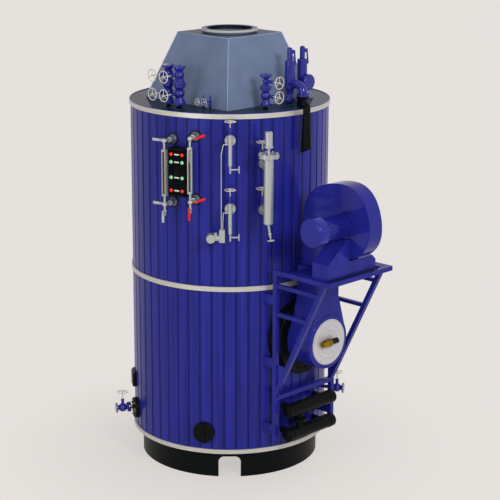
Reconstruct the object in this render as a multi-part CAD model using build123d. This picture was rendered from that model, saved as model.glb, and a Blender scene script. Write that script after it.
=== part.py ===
from build123d import *
import os
from math import cos, degrees, radians, sin, sqrt

# Vertical oil-fired steam boiler. Millimetres, +Z up, the origin on the boiler's axis at floor
# level. A bearing is an angle about the axis from the front (-Y) towards the right (+X), and a
# fitting is modelled facing the front, then turned to its bearing.

# Vessel
SHELL_RADIUS = 917.0
SHELL_WALL = 16.0
INSULATION_THICKNESS = 83.0
CASING_RADIUS = SHELL_RADIUS + INSULATION_THICKNESS
SKIRT_HEIGHT = 282.0
LOWER_CASING_HEIGHT = 1649.0
UPPER_CASING_HEIGHT = 1657.0
BOTTOM_BAND_HEIGHT = 43.0
MIDDLE_BAND_HEIGHT = 48.0
TOP_PLATE_THICKNESS = 47.0
BAND_PROUD = 12.0
SHELL_FLOOR_THICKNESS = 18.0

# Ribbed cladding
RIB_COUNT = 52
RIB_START_BEARING = -3.96
GROOVE_MOUTH = 24.5
GROOVE_BOTTOM = 13.0
GROOVE_DEPTH = 8.0

# Skirt slots and anchor ring
SLOT_COUNT = 4
SLOT_WIDTH = 224.0
SLOT_HEIGHT = 217.0
SLOT_CORNER = 60.0
ANCHOR_RING_WIDTH = 112.0
ANCHOR_RING_THICKNESS = 20.0
ANCHOR_COUNT = 12
ANCHOR_CIRCLE_SETBACK = 72.0
ANCHOR_CIRCLE_RADIUS = SHELL_RADIUS - ANCHOR_CIRCLE_SETBACK
ANCHOR_HOLE_RADIUS = 13.0

# Smoke box and flue outlet
HOOD_BASE_SETBACK = 160.0
HOOD_BASE_HALF_DIAGONAL = CASING_RADIUS - HOOD_BASE_SETBACK
HOOD_TOP_HALF_DIAGONAL = 518.0
HOOD_HEIGHT = 659.0
HOOD_WALL = 12.0
HOOD_CORNER_BEARING = -1.5
FLUE_BORE_RADIUS = 231.0
FLUE_COLLAR_WALL = 19.0
FLUE_COLLAR_HEIGHT = 20.0
FLUE_FLANGE_RADIUS = 282.0
FLUE_FLANGE_THICKNESS = 20.0

# Heights that follow from the stack of pieces
Z_BAND_BOTTOM = SKIRT_HEIGHT
Z_CASING_LOWER = Z_BAND_BOTTOM + BOTTOM_BAND_HEIGHT
Z_BAND_MIDDLE = Z_CASING_LOWER + LOWER_CASING_HEIGHT
Z_CASING_UPPER = Z_BAND_MIDDLE + MIDDLE_BAND_HEIGHT
Z_PLATE = Z_CASING_UPPER + UPPER_CASING_HEIGHT
Z_TOP = Z_PLATE + TOP_PLATE_THICKNESS
Z_HOOD_TOP = Z_TOP + HOOD_HEIGHT

# Fits
SPINDLE_CLEARANCE = 0.05
SPINDLE_ENGAGEMENT = 24.0
SPINDLE_END_GAP = 1.0
CASING_SEAT = 30.0

# Handwheels
WHEEL_DIAMETER = 125.0
SMALL_WHEEL_DIAMETER = 70.0
WHEEL_RIM_RATIO = 0.036
WHEEL_SPOKES = 3
WHEEL_SPOKE_RATIO = 0.8
WHEEL_HUB_RATIO = 1.7
WHEEL_NUT_RATIO = 1.3
SPINDLE_RADIUS = 6.0
BONNET_RADIUS = 15.0

# Stacks of two flanged valves on the top plate: radius from the axis, bearing, and height
STACK_CIRCLE_SETBACK = 208.0
STACK_CIRCLE_RADIUS = CASING_RADIUS - STACK_CIRCLE_SETBACK
FEED_REAR_BEARING = -49.2
FEED_FRONT_BEARING = -37.9
STEAM_BEARING = 26.0
FEED_WHEEL_BEARING = -45.0
STEAM_WHEEL_BEARING = 45.0
FEED_WHEEL_REACH = 208.0
STEAM_WHEEL_REACH = 182.0
STACK_STEM_RADIUS = 20.0
STACK_BORE_RADIUS = 19.0
STACK_BORE_DEPTH = 40.0

# Vent valves beside the feed stacks
VENT_SETBACKS = (258.0, 244.0)
VENT_PLACES = ((-252.0, VENT_SETBACKS[0] - CASING_RADIUS), (-188.0, VENT_SETBACKS[1] - CASING_RADIUS))
VENT_WHEEL_REACH = 82.0
VENT_HEIGHT = 138.0
VENT_BALL_HEIGHT = 84.0
VENT_BALL_RADIUS = 17.0

# Safety valves and their discharge
SAFETY_LEFT_PLACE = (588.0, -409.0)
SAFETY_RIGHT_PLACE = (715.0, -290.0)
SAFETY_FOOT_HEIGHT = 28.0
SAFETY_BODY_HEIGHT = 133.0
SAFETY_BONNET_HEIGHT = 430.0
SAFETY_CAP_HEIGHT = 556.0
SAFETY_BONNET_RADIUS = 49.5
SAFETY_CAP_RADIUS = 26.0
SAFETY_BODY_RADIUS = 57.0
SAFETY_OUTLET_BEARING = 45.0
SAFETY_OUTLET_HEIGHT = 205.0
SAFETY_OUTLET_FLANGE_RADIUS = 80.0
SAFETY_COVER_THICKNESS = 36.0
SAFETY_COVER_ROUND = 16.0
SAFETY_WAIST_HEIGHT = 100.0
SAFETY_SHOULDER_HEIGHT = 160.0
DISCHARGE_RADIUS = 36.0
DISCHARGE_MOUTH_RADIUS = 56.0
DISCHARGE_BEARING = 42.3
DISCHARGE_STANDOFF = 98.0
DISCHARGE_CIRCLE_RADIUS = CASING_RADIUS + DISCHARGE_STANDOFF
DISCHARGE_REACH = 178.0
DISCHARGE_FLANGE_RISE = 98.0
DISCHARGE_RUN_HEIGHT = 50.0
DISCHARGE_END_HEIGHT = 3350.0
DISCHARGE_CUTTER = 400.0
DRIP_POT_RADIUS = 55.0
DRIP_POT_GAP = 8.0

# Level gauges
GAUGE_STANDOFF = 150.0
GAUGE_AXIS_RADIUS = CASING_RADIUS + GAUGE_STANDOFF
GAUGE_LEFT_BEARING = -32.9
GAUGE_RIGHT_BEARING = -19.1
GAUGE_LEFT_HEIGHTS = (Z_TOP - 886.0, Z_TOP - 264.0)
GAUGE_RIGHT_HEIGHTS = (Z_TOP - 837.0, Z_TOP - 221.0)
GAUGE_BOSS_RADIUS = 48.0
GAUGE_FRAME_WIDTH = 44.0
GAUGE_FRAME_DEPTH = 34.0
GAUGE_FRAME_MARGIN = 83.0
GAUGE_GLASS_WIDTH = 18.0
GAUGE_PIPE_RADIUS = 11.0
GAUGE_DRAIN_DROP = 110.0
LEVER_LENGTH = 96.0
LEVER_WIDTH = 22.0
LEVER_THICKNESS = 7.0
LEVER_PIN_RADIUS = 7.0
GAUGE_LEFT_LEVER_RISE = 0.0
GAUGE_RIGHT_LEVER_RISE = 21.0
GAUGE_COCK_STANDOFF = 102.0
GAUGE_COCK_RADIUS = CASING_RADIUS + GAUGE_COCK_STANDOFF
GAUGE_COCK_OFFSET = 44.0

# Level panel
PANEL_BEARING = -26.8
PANEL_WIDTH = 204.0
PANEL_STANDOFF = 122.0
PANEL_FACE_RADIUS = CASING_RADIUS + PANEL_STANDOFF
PANEL_DROP = 334.0
PANEL_HEIGHT = 466.0
PANEL_BOTTOM = Z_TOP - PANEL_DROP - PANEL_HEIGHT

# Level pots with their root valves
ROOT_VALVE_STANDOFF = 83.0
ROOT_VALVE_RADIUS = CASING_RADIUS + ROOT_VALVE_STANDOFF
ROOT_BALL_RADIUS = 38.0
ROOT_FLANGE_RADIUS = 51.0
ROOT_FLANGE_THICKNESS = 14.0
ROOT_SEAT_RADIUS = 44.0
ROOT_SEAT_THICKNESS = 22.0
ROOT_STUB_LENGTH = 50.0
POT_BEARING = 0.25
POT_STANDOFF = 170.0
POT_AXIS_RADIUS = CASING_RADIUS + POT_STANDOFF
POT_RADIUS = 19.0
POT_VALVE_HEIGHTS = (Z_TOP - 887.0, Z_TOP - 226.0)
POT_WHEEL_RISE = 169.0
POT_WHEEL_DIAMETER = 116.0
POT_TOP_RISE = 55.0
POT_LENGTH = 296.0
POT_STUB_DROP = 34.0
POT_STUB_REACH = 52.0
POT_DRAIN_DROP = 73.0
POT_HANDLE_DROP = 34.0
POT_HANDLE_REACH = 84.0
POT_HANDLE_HALF_LENGTH = 34.0

# Level transmitter
TRANSMITTER_OFFSET = -78.0
TRANSMITTER_DROP = 251.0
TRANSMITTER_HEIGHT = POT_VALVE_HEIGHTS[0] - TRANSMITTER_DROP
TRANSMITTER_HOUSING_REACH = 108.0
TRANSMITTER_TOP = 56.0
SENSING_TUBE_RADIUS = 5.0
SENSING_TUBE_SLANT = 95.0

# Electrode column
COLUMN_BEARING = 16.8
COLUMN_STANDOFF = 270.0
COLUMN_AXIS_RADIUS = CASING_RADIUS + COLUMN_STANDOFF
COLUMN_TUBE_RADIUS = 46.0
COLUMN_VALVE_HEIGHTS = (Z_TOP - 910.0, Z_TOP - 458.0)
COLUMN_FOOT_DROP = 111.0
COLUMN_BOTTOM = COLUMN_VALVE_HEIGHTS[0] - COLUMN_FOOT_DROP
COLUMN_FLANGE_RISE = 83.0
COLUMN_FLANGE_HEIGHT = COLUMN_VALVE_HEIGHTS[1] + COLUMN_FLANGE_RISE
COLUMN_FLANGE_RADIUS = 100.0
COLUMN_FLANGE_THICKNESS = 16.0
COLUMN_FLANGE_GAP = 4.0
COLUMN_FLANGE_GROOVE = 8.0
COLUMN_NECK_RADIUS = 14.0
COLUMN_HEAD_RADIUS = 37.0
COLUMN_HEAD_LENGTH = 150.0
COLUMN_HEAD_LIP = 12.0
COLUMN_HEAD_RISE = 245.0
COLUMN_TOP = COLUMN_FLANGE_HEIGHT + COLUMN_HEAD_RISE
COLUMN_WHEEL_RISE = 197.0
COLUMN_DRAIN_DROP = 161.0
COLUMN_DRAIN_HEIGHT = COLUMN_BOTTOM - COLUMN_DRAIN_DROP
COLUMN_DRAIN_OFFSET = 16.0
COLUMN_DRAIN_RADIUS = 12.0
COLUMN_DRAIN_REACH = 62.0

# Inspection covers
HANDHOLE_RADIUS = 109.0
HANDHOLE_THICKNESS = 34.0
HANDHOLE_EDGE = 8.0
YOKE_WIDTH = 30.0
YOKE_LENGTH = 190.0
YOKE_THICKNESS = 10.0
YOKE_NUT_RADIUS = 17.0
FRONT_HANDHOLE = (-14.8, 501.0)
LEFT_HANDHOLE = (-75.0, 502.0)
SIDE_COVER = (-80.0, 808.0)
SIDE_COVER_SIZE = (150.0, 165.0)
SIDE_COVER_CHAMFER = 26.0

# Blow-down valves
BLOWDOWN_LEFT = (-75.0, 515.0)
BLOWDOWN_RIGHT = (75.0, 735.0)
BLOWDOWN_BALL_RADIUS = 46.0
BLOWDOWN_STANDOFF = 153.0
BLOWDOWN_VALVE_RADIUS = CASING_RADIUS + BLOWDOWN_STANDOFF
BLOWDOWN_FLANGE_RADIUS = 53.0
BLOWDOWN_FLANGE_OFFSET = 70.0
BLOWDOWN_BONNET_LENGTH = 92.0
BLOWDOWN_WHEEL_RISE = 168.0

# Burner
BURNER_BEARING = 45.0
BURNER_HEIGHT = 1452.0
MOUTH_RADIUS = 390.0
MOUTH_STANDOFF = 80.0
MOUTH_FACE_RADIUS = CASING_RADIUS + MOUTH_STANDOFF
DRUM_RADIUS = 275.0
DRUM_LENGTH = 295.0
DRUM_FACE_RADIUS = MOUTH_FACE_RADIUS + DRUM_LENGTH
PLATE_RADIUS = 231.0
PLATE_THICKNESS = 10.0
DUCT_HALF_WIDTH = 149.0
DUCT_BACK_SETBACK = 8.0
DUCT_FRONT_SETBACK = 7.0
DUCT_BACK_RADIUS = MOUTH_FACE_RADIUS + DUCT_BACK_SETBACK
DUCT_FRONT_RADIUS = DRUM_FACE_RADIUS - DUCT_FRONT_SETBACK
DUCT_FLARE_RISE = 448.0
DUCT_FLARE_TOP = BURNER_HEIGHT + DUCT_FLARE_RISE
PLATE_RING_RADIUS = 199.0
PLATE_RING_PROUD = 3.0
GUN_STANDOFF = 47.0
GUN_OFFSET = -37.0
GUN_RISE = 17.0
GUN_PIPE_RADIUS = 20.0
GUN_SLEEVE_RADIUS = 31.0
GUN_SLEEVE_LENGTH = 97.0
GUN_HEAD_RADIUS = 42.0
GUN_HEAD_LENGTH = 120.0
GUN_COLLAR = 12.0

# Support frame of the fan
FRAME_HALF_WIDTH = 414.0
FRAME_POST_STANDOFF = 54.0
FRAME_POST_RADIUS = CASING_RADIUS + FRAME_POST_STANDOFF
FRAME_TUBE = 46.0
FRAME_TOP_RISE = 755.0
FRAME_TOP = BURNER_HEIGHT + FRAME_TOP_RISE
FRAME_BOTTOM = 460.0
FRAME_REACH = 760.0
FRAME_FRONT_RADIUS = CASING_RADIUS + FRAME_REACH
FRAME_DIAGONAL_FOOT_DROP = 547.0
FRAME_DIAGONAL_FOOT = BURNER_HEIGHT - FRAME_DIAGONAL_FOOT_DROP
FRAME_DIAGONAL_SETBACK = 68.0
FRAME_DIAGONAL_HEAD = FRAME_FRONT_RADIUS - FRAME_DIAGONAL_SETBACK
FRAME_SECOND_RAIL_DROP = 159.0
FRAME_SECOND_RAIL = FRAME_TOP - FRAME_SECOND_RAIL_DROP
FRAME_THIRD_RAIL_DROP = 445.0
FRAME_THIRD_RAIL = FRAME_TOP - FRAME_THIRD_RAIL_DROP
FRAME_TIE_RAIL_DROP = 564.0
FRAME_TIE_RAIL = BURNER_HEIGHT - FRAME_TIE_RAIL_DROP
FRAME_RAIL_RATIO = 0.8
FRAME_GUSSET_DROP = 212.0
FRAME_GUSSET_TOP = BURNER_HEIGHT - FRAME_GUSSET_DROP
GUSSET_THICKNESS = 8.0
FRAME_PAD_RISES = (-892.0, -202.0, 448.0)
FRAME_PAD_HEIGHT = 90.0
DECK_THICKNESS = 6.0
DECK_SETBACK = 526.0
DECK_BACK_RADIUS = FRAME_FRONT_RADIUS - DECK_SETBACK
DECK_CROSS_CLEARANCE = 12.0
DECK_CROSS_RADIUS = DUCT_FRONT_RADIUS + DECK_CROSS_CLEARANCE
DUCT_CLEARANCE = 5.0
DECK_RIGHT = 495.0

# Fan
FAN_AXIS_SETBACK = 124.0
FAN_AXIS_RADIUS = FRAME_FRONT_RADIUS - FAN_AXIS_SETBACK
FAN_AXIS_RISE = 493.0
FAN_AXIS_HEIGHT = FRAME_TOP + FAN_AXIS_RISE
SCROLL_HALF_WIDTH = 90.0
SCROLL_RADII = (334.0, 316.0, 340.0, 388.0, 462.0, 537.0)
SCROLL_ANGLES = (-60.0, -10.0, 45.0, 90.0, 135.0, 180.0)
SCROLL_OUTLET_REACH = 32.0
SCROLL_OUTLET_FRONT = DUCT_FRONT_RADIUS + SCROLL_OUTLET_REACH
SCROLL_TONGUE_RISE = 189.0
SCROLL_UNDERSIDE_SETBACK = 16.0
SCROLL_UNDERSIDE_RADIUS = FAN_AXIS_RADIUS - SCROLL_UNDERSIDE_SETBACK
SCROLL_UNDERSIDE_RISE = 150.0
FAN_EYE_RADIUS = 170.0
SCROLL_FLANGE_RISE = 33.0
SCROLL_FLANGE_THICKNESS = 12.0
SCROLL_FLANGE_REACH = 20.0
MOTOR_RADIUS = 142.0
MOTOR_FACE_OFFSET = -580.0
MOTOR_COWL_LENGTH = 120.0
MOTOR_COWL_ROUND = 30.0
MOTOR_BODY_RADIUS = 106.0
MOTOR_FLANGE_RADIUS = 130.0
MOTOR_FLANGE_THICKNESS = 22.0
MOTOR_FIN_COUNT = 24
MOTOR_FIN_RADIUS = 120.0
MOTOR_FIN_THICKNESS = 6.0
PEDESTAL_DEPTH = 200.0
PEDESTAL_SETBACK = 60.0
PEDESTAL_FRONT_RADIUS = FRAME_FRONT_RADIUS - PEDESTAL_SETBACK
PEDESTAL_BACK_RADIUS = PEDESTAL_FRONT_RADIUS - PEDESTAL_DEPTH
PEDESTAL_LEFT = -390.0
PEDESTAL_RIGHT = 303.0
PEDESTAL_SIDE_HEIGHT = 150.0
PEDESTAL_REST_HEIGHT = 142.0
PEDESTAL_CHAMFER = 50.0

# Oil heaters
HEATER_RADIUS = 68.0
HEATER_LENGTH = 676.0
HEATER_STANDOFF = 142.0
HEATER_AXIS_RADIUS = CASING_RADIUS + HEATER_STANDOFF
HEATER_HEIGHTS = (490.0, 745.0)
HEATER_LINK_OFFSET = -150.0
HEATER_SADDLE_OFFSET = 230.0
HEATER_SADDLE_SIZE = (44.0, 60.0)
HEATER_LINK_RADIUS = 36.0
HEATER_LINK_FLANGE_RADIUS = 66.0
HEATER_LINK_FLANGE_THICKNESS = 36.0
HEATER_END_ROUND = 12.0

FROM_BASE = (Align.CENTER, Align.CENTER, Align.MIN)
UP = Vector(0, 0, 1)
DOWN = Vector(0, 0, -1)
LEFT = Vector(-1, 0, 0)
RIGHT = Vector(1, 0, 0)
OUT = Vector(0, -1, 0)


def on_circle(radius, bearing):
    """Point of a plan at a radius and a bearing."""
    return (radius * sin(radians(bearing)), -radius * cos(radians(bearing)))


def heading(bearing):
    """Level unit vector that points away from the axis at a bearing."""
    return Vector(*on_circle(1.0, bearing), 0)


def turn_to(bearing, shape):
    return Rot(0, 0, bearing) * shape


def block(x, y, z):
    """Box between a low and a high value on each axis."""
    size = [high - low for low, high in (x, y, z)]
    return Pos(x[0], y[0], z[0]) * Box(*size, align=(Align.MIN,) * 3)


def rod(radius, start, end):
    start, end = Vector(*start), Vector(*end)
    run = end - start
    return Plane(origin=start, z_dir=run) * Cylinder(radius, run.length, align=FROM_BASE)


def tube_between(start, end, width):
    """Square bar from one point to another, with two of its sides facing sideways."""
    start, end = Vector(*start), Vector(*end)
    run = end - start
    side = RIGHT if abs(run.normalized().dot(RIGHT)) < 0.9 else UP
    plane = Plane(origin=start, x_dir=side, z_dir=run)
    return plane * Box(width, width, run.length, align=FROM_BASE)


def turned(outline, start, direction):
    """Revolved solid from (radius, distance along the axis) points."""
    points = [(radius, 0, along) for radius, along in outline]
    face = make_face(Polyline(*points, close=True))
    return Plane(origin=Vector(*start), z_dir=direction) * revolve(face, Axis.Z)


def rounded_disc(radius, thickness, rounding, start, direction):
    """Disc whose far edge is rounded over."""
    disc = Cylinder(radius, thickness, align=FROM_BASE)
    disc = fillet(disc.edges().group_by(Axis.Z)[-1], rounding)
    return Plane(origin=Vector(*start), z_dir=direction) * disc


def ring(inner, outer, low, high):
    return Pos(0, 0, low) * extrude(Circle(outer) - Circle(inner), high - low)


def seated(shape):
    """Shape cut back to the casing's outer face."""
    return shape - rod(CASING_RADIUS, (0, 0, Z_CASING_LOWER), (0, 0, Z_TOP))


def welded(*shapes):
    """Solids of one weldment, each cut back to the faces of those before it."""
    solids = []
    for shape in shapes:
        for done in solids:
            shape -= done
        solids += shape.solids()
    return solids


def flange(radius, thickness, hub, hub_length, start, direction):
    """Round flange whose back tapers into a hub along the direction."""
    outline = ((0, 0), (radius, 0), (radius, thickness), (hub * 1.25, thickness))
    outline += ((hub, thickness + hub_length), (0, thickness + hub_length))
    return turned(outline, start, direction)


def handwheel(diameter, centre, direction, spindle_length, spindle_radius=SPINDLE_RADIUS):
    """Spoked wheel with its hub nut and the spindle that runs back from it."""
    rim_section = diameter * WHEEL_RIM_RATIO
    rim_radius = diameter / 2 - rim_section
    wheel = Torus(rim_radius, rim_section)
    for spoke in range(WHEEL_SPOKES):
        angle = radians(90 + spoke * 360 / WHEEL_SPOKES)
        tip = (rim_radius * cos(angle), rim_radius * sin(angle), 0)
        wheel += rod(rim_section * WHEEL_SPOKE_RATIO, (0, 0, 0), tip)
    hub = Cylinder(spindle_radius * WHEEL_HUB_RATIO, 2.4 * rim_section, align=FROM_BASE)
    nut = extrude(RegularPolygon(spindle_radius * WHEEL_NUT_RATIO, 6), spindle_radius)
    wheel += Pos(0, 0, -rim_section) * hub + Pos(0, 0, 1.4 * rim_section) * nut
    wheel += rod(spindle_radius, (0, 0, 0), (0, 0, -spindle_length))
    level = UP if abs(Vector(*direction).Z) < 0.9 else RIGHT
    place = Plane(origin=Vector(*centre), x_dir=level.cross(direction), z_dir=direction)
    return place * wheel


def bonnet(start, direction, length, spindle_radius=SPINDLE_RADIUS, radius=BONNET_RADIUS):
    """Valve bonnet with its gland, bored for the spindle that turns in it."""
    outline = ((0, 0), (radius * 1.5, 0), (radius, length * 0.45), (radius, length - 12))
    outline += ((radius * 1.2, length - 12), (radius * 1.2, length), (0, length))
    body = turned(outline, start, direction)
    depth = SPINDLE_ENGAGEMENT + SPINDLE_END_GAP
    mouth = Vector(*start) + Vector(*direction) * length
    bore = rod(spindle_radius + SPINDLE_CLEARANCE, mouth - Vector(*direction) * depth, mouth)
    return body, bore


def bonnet_with_wheel(diameter, centre, direction, bonnet_length, reach, spindle_radius=SPINDLE_RADIUS,
                      bonnet_radius=BONNET_RADIUS):
    """Fixed bonnet, its bore and the moving handwheel, for a valve at a centre."""
    body, bore = bonnet(centre, direction, bonnet_length, spindle_radius, bonnet_radius)
    spindle = reach - bonnet_length + SPINDLE_ENGAGEMENT
    place = Vector(*centre) + Vector(*direction) * reach
    return body, bore, handwheel(diameter, place, direction, spindle, spindle_radius)


# Vessel

def skirt():
    shell = ring(SHELL_RADIUS - SHELL_WALL, SHELL_RADIUS, 0, SKIRT_HEIGHT)
    inner = SHELL_RADIUS - SHELL_WALL
    anchor_ring = ring(inner - ANCHOR_RING_WIDTH, inner, 0, ANCHOR_RING_THICKNESS)
    body = shell + anchor_ring
    reach = SHELL_RADIUS + SHELL_WALL
    slot = block((-SLOT_WIDTH / 2, SLOT_WIDTH / 2), (-reach, -inner + ANCHOR_RING_WIDTH * 1.5),
                 (-SHELL_WALL, SLOT_HEIGHT))
    slot = fillet(slot.edges().filter_by(Axis.Y).group_by(Axis.Z)[-1], SLOT_CORNER)
    for k in range(SLOT_COUNT):
        body -= turn_to(k * 360 / SLOT_COUNT, slot)
    step = 360 / ANCHOR_COUNT
    for k in range(ANCHOR_COUNT):
        x, y = on_circle(ANCHOR_CIRCLE_RADIUS, (k + 0.5) * step)
        body -= rod(ANCHOR_HOLE_RADIUS, (x, y, -SHELL_WALL), (x, y, ANCHOR_RING_THICKNESS * 2))
    return body


def pressure_shell():
    wall = ring(SHELL_RADIUS - SHELL_WALL, SHELL_RADIUS, SKIRT_HEIGHT, Z_PLATE)
    floor = Pos(0, 0, SKIRT_HEIGHT) * Cylinder(SHELL_RADIUS, SHELL_FLOOR_THICKNESS, align=FROM_BASE)
    return wall + floor


def ribbed_face():
    """Cladding section: the outer circle broken by tapered grooves."""
    pitch = 360 / RIB_COUNT
    mouth = degrees(GROOVE_MOUTH / CASING_RADIUS)
    taper = degrees((GROOVE_MOUTH - GROOVE_BOTTOM) / 2 / CASING_RADIUS)
    bottom = CASING_RADIUS - GROOVE_DEPTH
    edges = []
    for k in range(RIB_COUNT):
        left = RIB_START_BEARING + k * pitch
        corners = [on_circle(CASING_RADIUS, left), on_circle(bottom, left + taper),
                   on_circle(bottom, left + mouth - taper), on_circle(CASING_RADIUS, left + mouth)]
        edges += [Line(a, b) for a, b in zip(corners, corners[1:])]
        middle = on_circle(CASING_RADIUS, left + (mouth + pitch) / 2)
        edges.append(ThreePointArc(corners[-1], middle, on_circle(CASING_RADIUS, left + pitch)))
    return make_face(edges) - Circle(SHELL_RADIUS)


def casing(low, height):
    return Pos(0, 0, low) * extrude(ribbed_face(), height)


def bands():
    """Three pale bands: two between the cladding shells, one round the top plate."""
    outer = CASING_RADIUS + BAND_PROUD
    return [
        ring(SHELL_RADIUS, outer, Z_BAND_BOTTOM, Z_CASING_LOWER),
        ring(SHELL_RADIUS, outer, Z_BAND_MIDDLE, Z_CASING_UPPER),
        ring(CASING_RADIUS, outer, Z_PLATE, Z_TOP),
    ]


def top_plate():
    return Pos(0, 0, Z_PLATE) * Cylinder(CASING_RADIUS, TOP_PLATE_THICKNESS, align=FROM_BASE)


def square_at(half_diagonal, height):
    side = half_diagonal * sqrt(2)
    return Pos(0, 0, height) * Rot(0, 0, 45 + HOOD_CORNER_BEARING) * Rectangle(side, side)


def smoke_box():
    """Tapered square hood with a corner at the front: four mitred walls under a lid with the flue."""
    skew = HOOD_WALL * sqrt(2)
    top_inside = Z_HOOD_TOP - HOOD_WALL
    slope = (HOOD_BASE_HALF_DIAGONAL - HOOD_TOP_HALF_DIAGONAL) / HOOD_HEIGHT
    outer = loft([square_at(HOOD_BASE_HALF_DIAGONAL, Z_TOP).face(),
                  square_at(HOOD_TOP_HALF_DIAGONAL, Z_HOOD_TOP).face()])
    inner = loft([square_at(HOOD_BASE_HALF_DIAGONAL - skew, Z_TOP).face(),
                  square_at(HOOD_TOP_HALF_DIAGONAL + slope * HOOD_WALL - skew, top_inside).face()])
    flue = Pos(0, 0, top_inside - HOOD_WALL) * Cylinder(FLUE_BORE_RADIUS, 3 * HOOD_WALL, align=FROM_BASE)
    reach = HOOD_BASE_HALF_DIAGONAL * 1.1
    quarter = block((0, reach), (0, reach), (Z_TOP, top_inside))
    walls = [(outer - inner) & Rot(0, 0, HOOD_CORNER_BEARING + k * 90) * quarter for k in range(4)]
    lid = (outer - flue) & block((-reach, reach), (-reach, reach), (top_inside, Z_HOOD_TOP))
    return walls + [lid]


def flue_outlet():
    flange_low = Z_HOOD_TOP + FLUE_COLLAR_HEIGHT
    collar = ring(FLUE_BORE_RADIUS, FLUE_BORE_RADIUS + FLUE_COLLAR_WALL, Z_HOOD_TOP, flange_low)
    return collar + ring(FLUE_BORE_RADIUS, FLUE_FLANGE_RADIUS, flange_low, flange_low + FLUE_FLANGE_THICKNESS)


# Valves on the top plate

def valve_stack(place, wheel_bearing, reach, sections):
    """Stem, then flanges, balls, necks and cones from (kind, radius, low, high), with its two wheels."""
    x, y = place
    body = rod(STACK_STEM_RADIUS, (x, y, Z_TOP), (x, y, Z_TOP + sections[0][2]))
    body += turned(((0, 0), (STACK_STEM_RADIUS * 2.2, 0), (STACK_STEM_RADIUS, 12), (0, 12)),
                   (x, y, Z_TOP), UP)
    bonnets, bores, wheels = [], [], []
    for kind, radius, low, high in sections:
        if kind == "ball":
            centre = (x, y, Z_TOP + (low + high) / 2)
            body += Pos(*centre) * Sphere(radius)
            fixed, bore, wheel = bonnet_with_wheel(
                WHEEL_DIAMETER, centre, heading(wheel_bearing), reach * 0.55, reach)
            bonnets.append(fixed)
            bores.append(bore)
            wheels.append(wheel)
        elif kind == "cone":
            body += turned(((0, low), (radius[0], low), (radius[1], high), (0, high)), (x, y, Z_TOP), UP)
        else:
            body += rod(radius, (x, y, Z_TOP + low), (x, y, Z_TOP + high))
    for fixed in bonnets:
        body += fixed
    for bore in bores:
        body -= bore
    top = Z_TOP + sections[-1][3]
    body -= rod(STACK_BORE_RADIUS, (x, y, top - STACK_BORE_DEPTH), (x, y, top + STACK_BORE_DEPTH))
    return body, wheels


FEED_SECTIONS = (
    ("flange", 63, 33, 52), ("cone", (56, 38), 52, 100), ("ball", 51, 88, 190), ("cone", (38, 56), 178, 205),
    ("flange", 62, 205, 222), ("neck", 40, 222, 228), ("flange", 62, 228, 245), ("cone", (56, 38), 245, 285),
    ("ball", 51, 269, 371), ("cone", (38, 56), 357, 386), ("flange", 63, 386, 405),
)
STEAM_SECTIONS = (
    ("flange", 54, 36, 52), ("cone", (48, 34), 52, 92), ("ball", 48, 83, 179), ("cone", (34, 48), 168, 188),
    ("flange", 55, 188, 204), ("neck", 36, 204, 209), ("flange", 55, 209, 225), ("cone", (48, 22), 225, 254),
    ("ball", 29, 242, 300), ("cone", (22, 50), 290, 318), ("flange", 57, 318, 338),
)


def vent_valve(place):
    """Small valve with a thin capped top and a wheel at its side."""
    x, y = place
    body = rod(9, (x, y, Z_TOP), (x, y, Z_TOP + 26))
    body += rod(15, (x, y, Z_TOP + 22), (x, y, Z_TOP + 62))
    body += rod(8, (x, y, Z_TOP + 60), (x, y, Z_TOP + VENT_HEIGHT))
    centre = (x, y, Z_TOP + VENT_BALL_HEIGHT)
    body += Pos(*centre) * Sphere(VENT_BALL_RADIUS)
    fixed, bore, wheel = bonnet_with_wheel(SMALL_WHEEL_DIAMETER, centre, heading(FEED_WHEEL_BEARING),
                                           VENT_WHEEL_REACH * 0.6, VENT_WHEEL_REACH, 4, 8)
    return body + fixed - bore, wheel


# Safety valves

def safety_valve(place):
    """Inlet, chamber, spring bonnet and cap with its lifting lever."""
    x, y = place
    outline = (
        (0, 0), (26, 0), (26, SAFETY_FOOT_HEIGHT), (SAFETY_BODY_RADIUS, SAFETY_FOOT_HEIGHT),
        (SAFETY_BODY_RADIUS, SAFETY_FOOT_HEIGHT + 18), (40, SAFETY_FOOT_HEIGHT + 34),
        (34, SAFETY_WAIST_HEIGHT), (40, SAFETY_BODY_HEIGHT),
        (SAFETY_BONNET_RADIUS, SAFETY_SHOULDER_HEIGHT), (SAFETY_BONNET_RADIUS, SAFETY_BONNET_HEIGHT - 8),
        (SAFETY_BONNET_RADIUS - 8, SAFETY_BONNET_HEIGHT), (SAFETY_CAP_RADIUS, SAFETY_BONNET_HEIGHT),
        (SAFETY_CAP_RADIUS, SAFETY_CAP_HEIGHT - 14), (SAFETY_CAP_RADIUS - 14, SAFETY_CAP_HEIGHT),
        (0, SAFETY_CAP_HEIGHT),
    )
    body = turned(outline, (x, y, Z_TOP), UP)
    hub = Vector(x, y, Z_TOP + SAFETY_CAP_HEIGHT - 44)
    side = heading(SAFETY_OUTLET_BEARING + 45)
    body += rod(19, hub, hub + side * 52)
    lever_foot = hub + side * 44
    body += rod(8, lever_foot, lever_foot + DOWN * 130 + side * 12)
    return body


def safety_left():
    """Valve with the outlet bend that turns down to the discharge flange."""
    x, y = SAFETY_LEFT_PLACE
    out = heading(SAFETY_OUTLET_BEARING)
    centre = Vector(x, y, Z_TOP + SAFETY_OUTLET_HEIGHT)
    drop = discharge_start()
    bend = Vector(drop.X, drop.Y, centre.Z)
    path = FilletPolyline(centre, bend, drop, radius=80)
    outlet = sweep((Plane(origin=centre, z_dir=out) * Circle(44)), path=path)
    body = safety_valve(SAFETY_LEFT_PLACE) + outlet
    body += rod(62, drop, drop + UP * 20)
    return body


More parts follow.
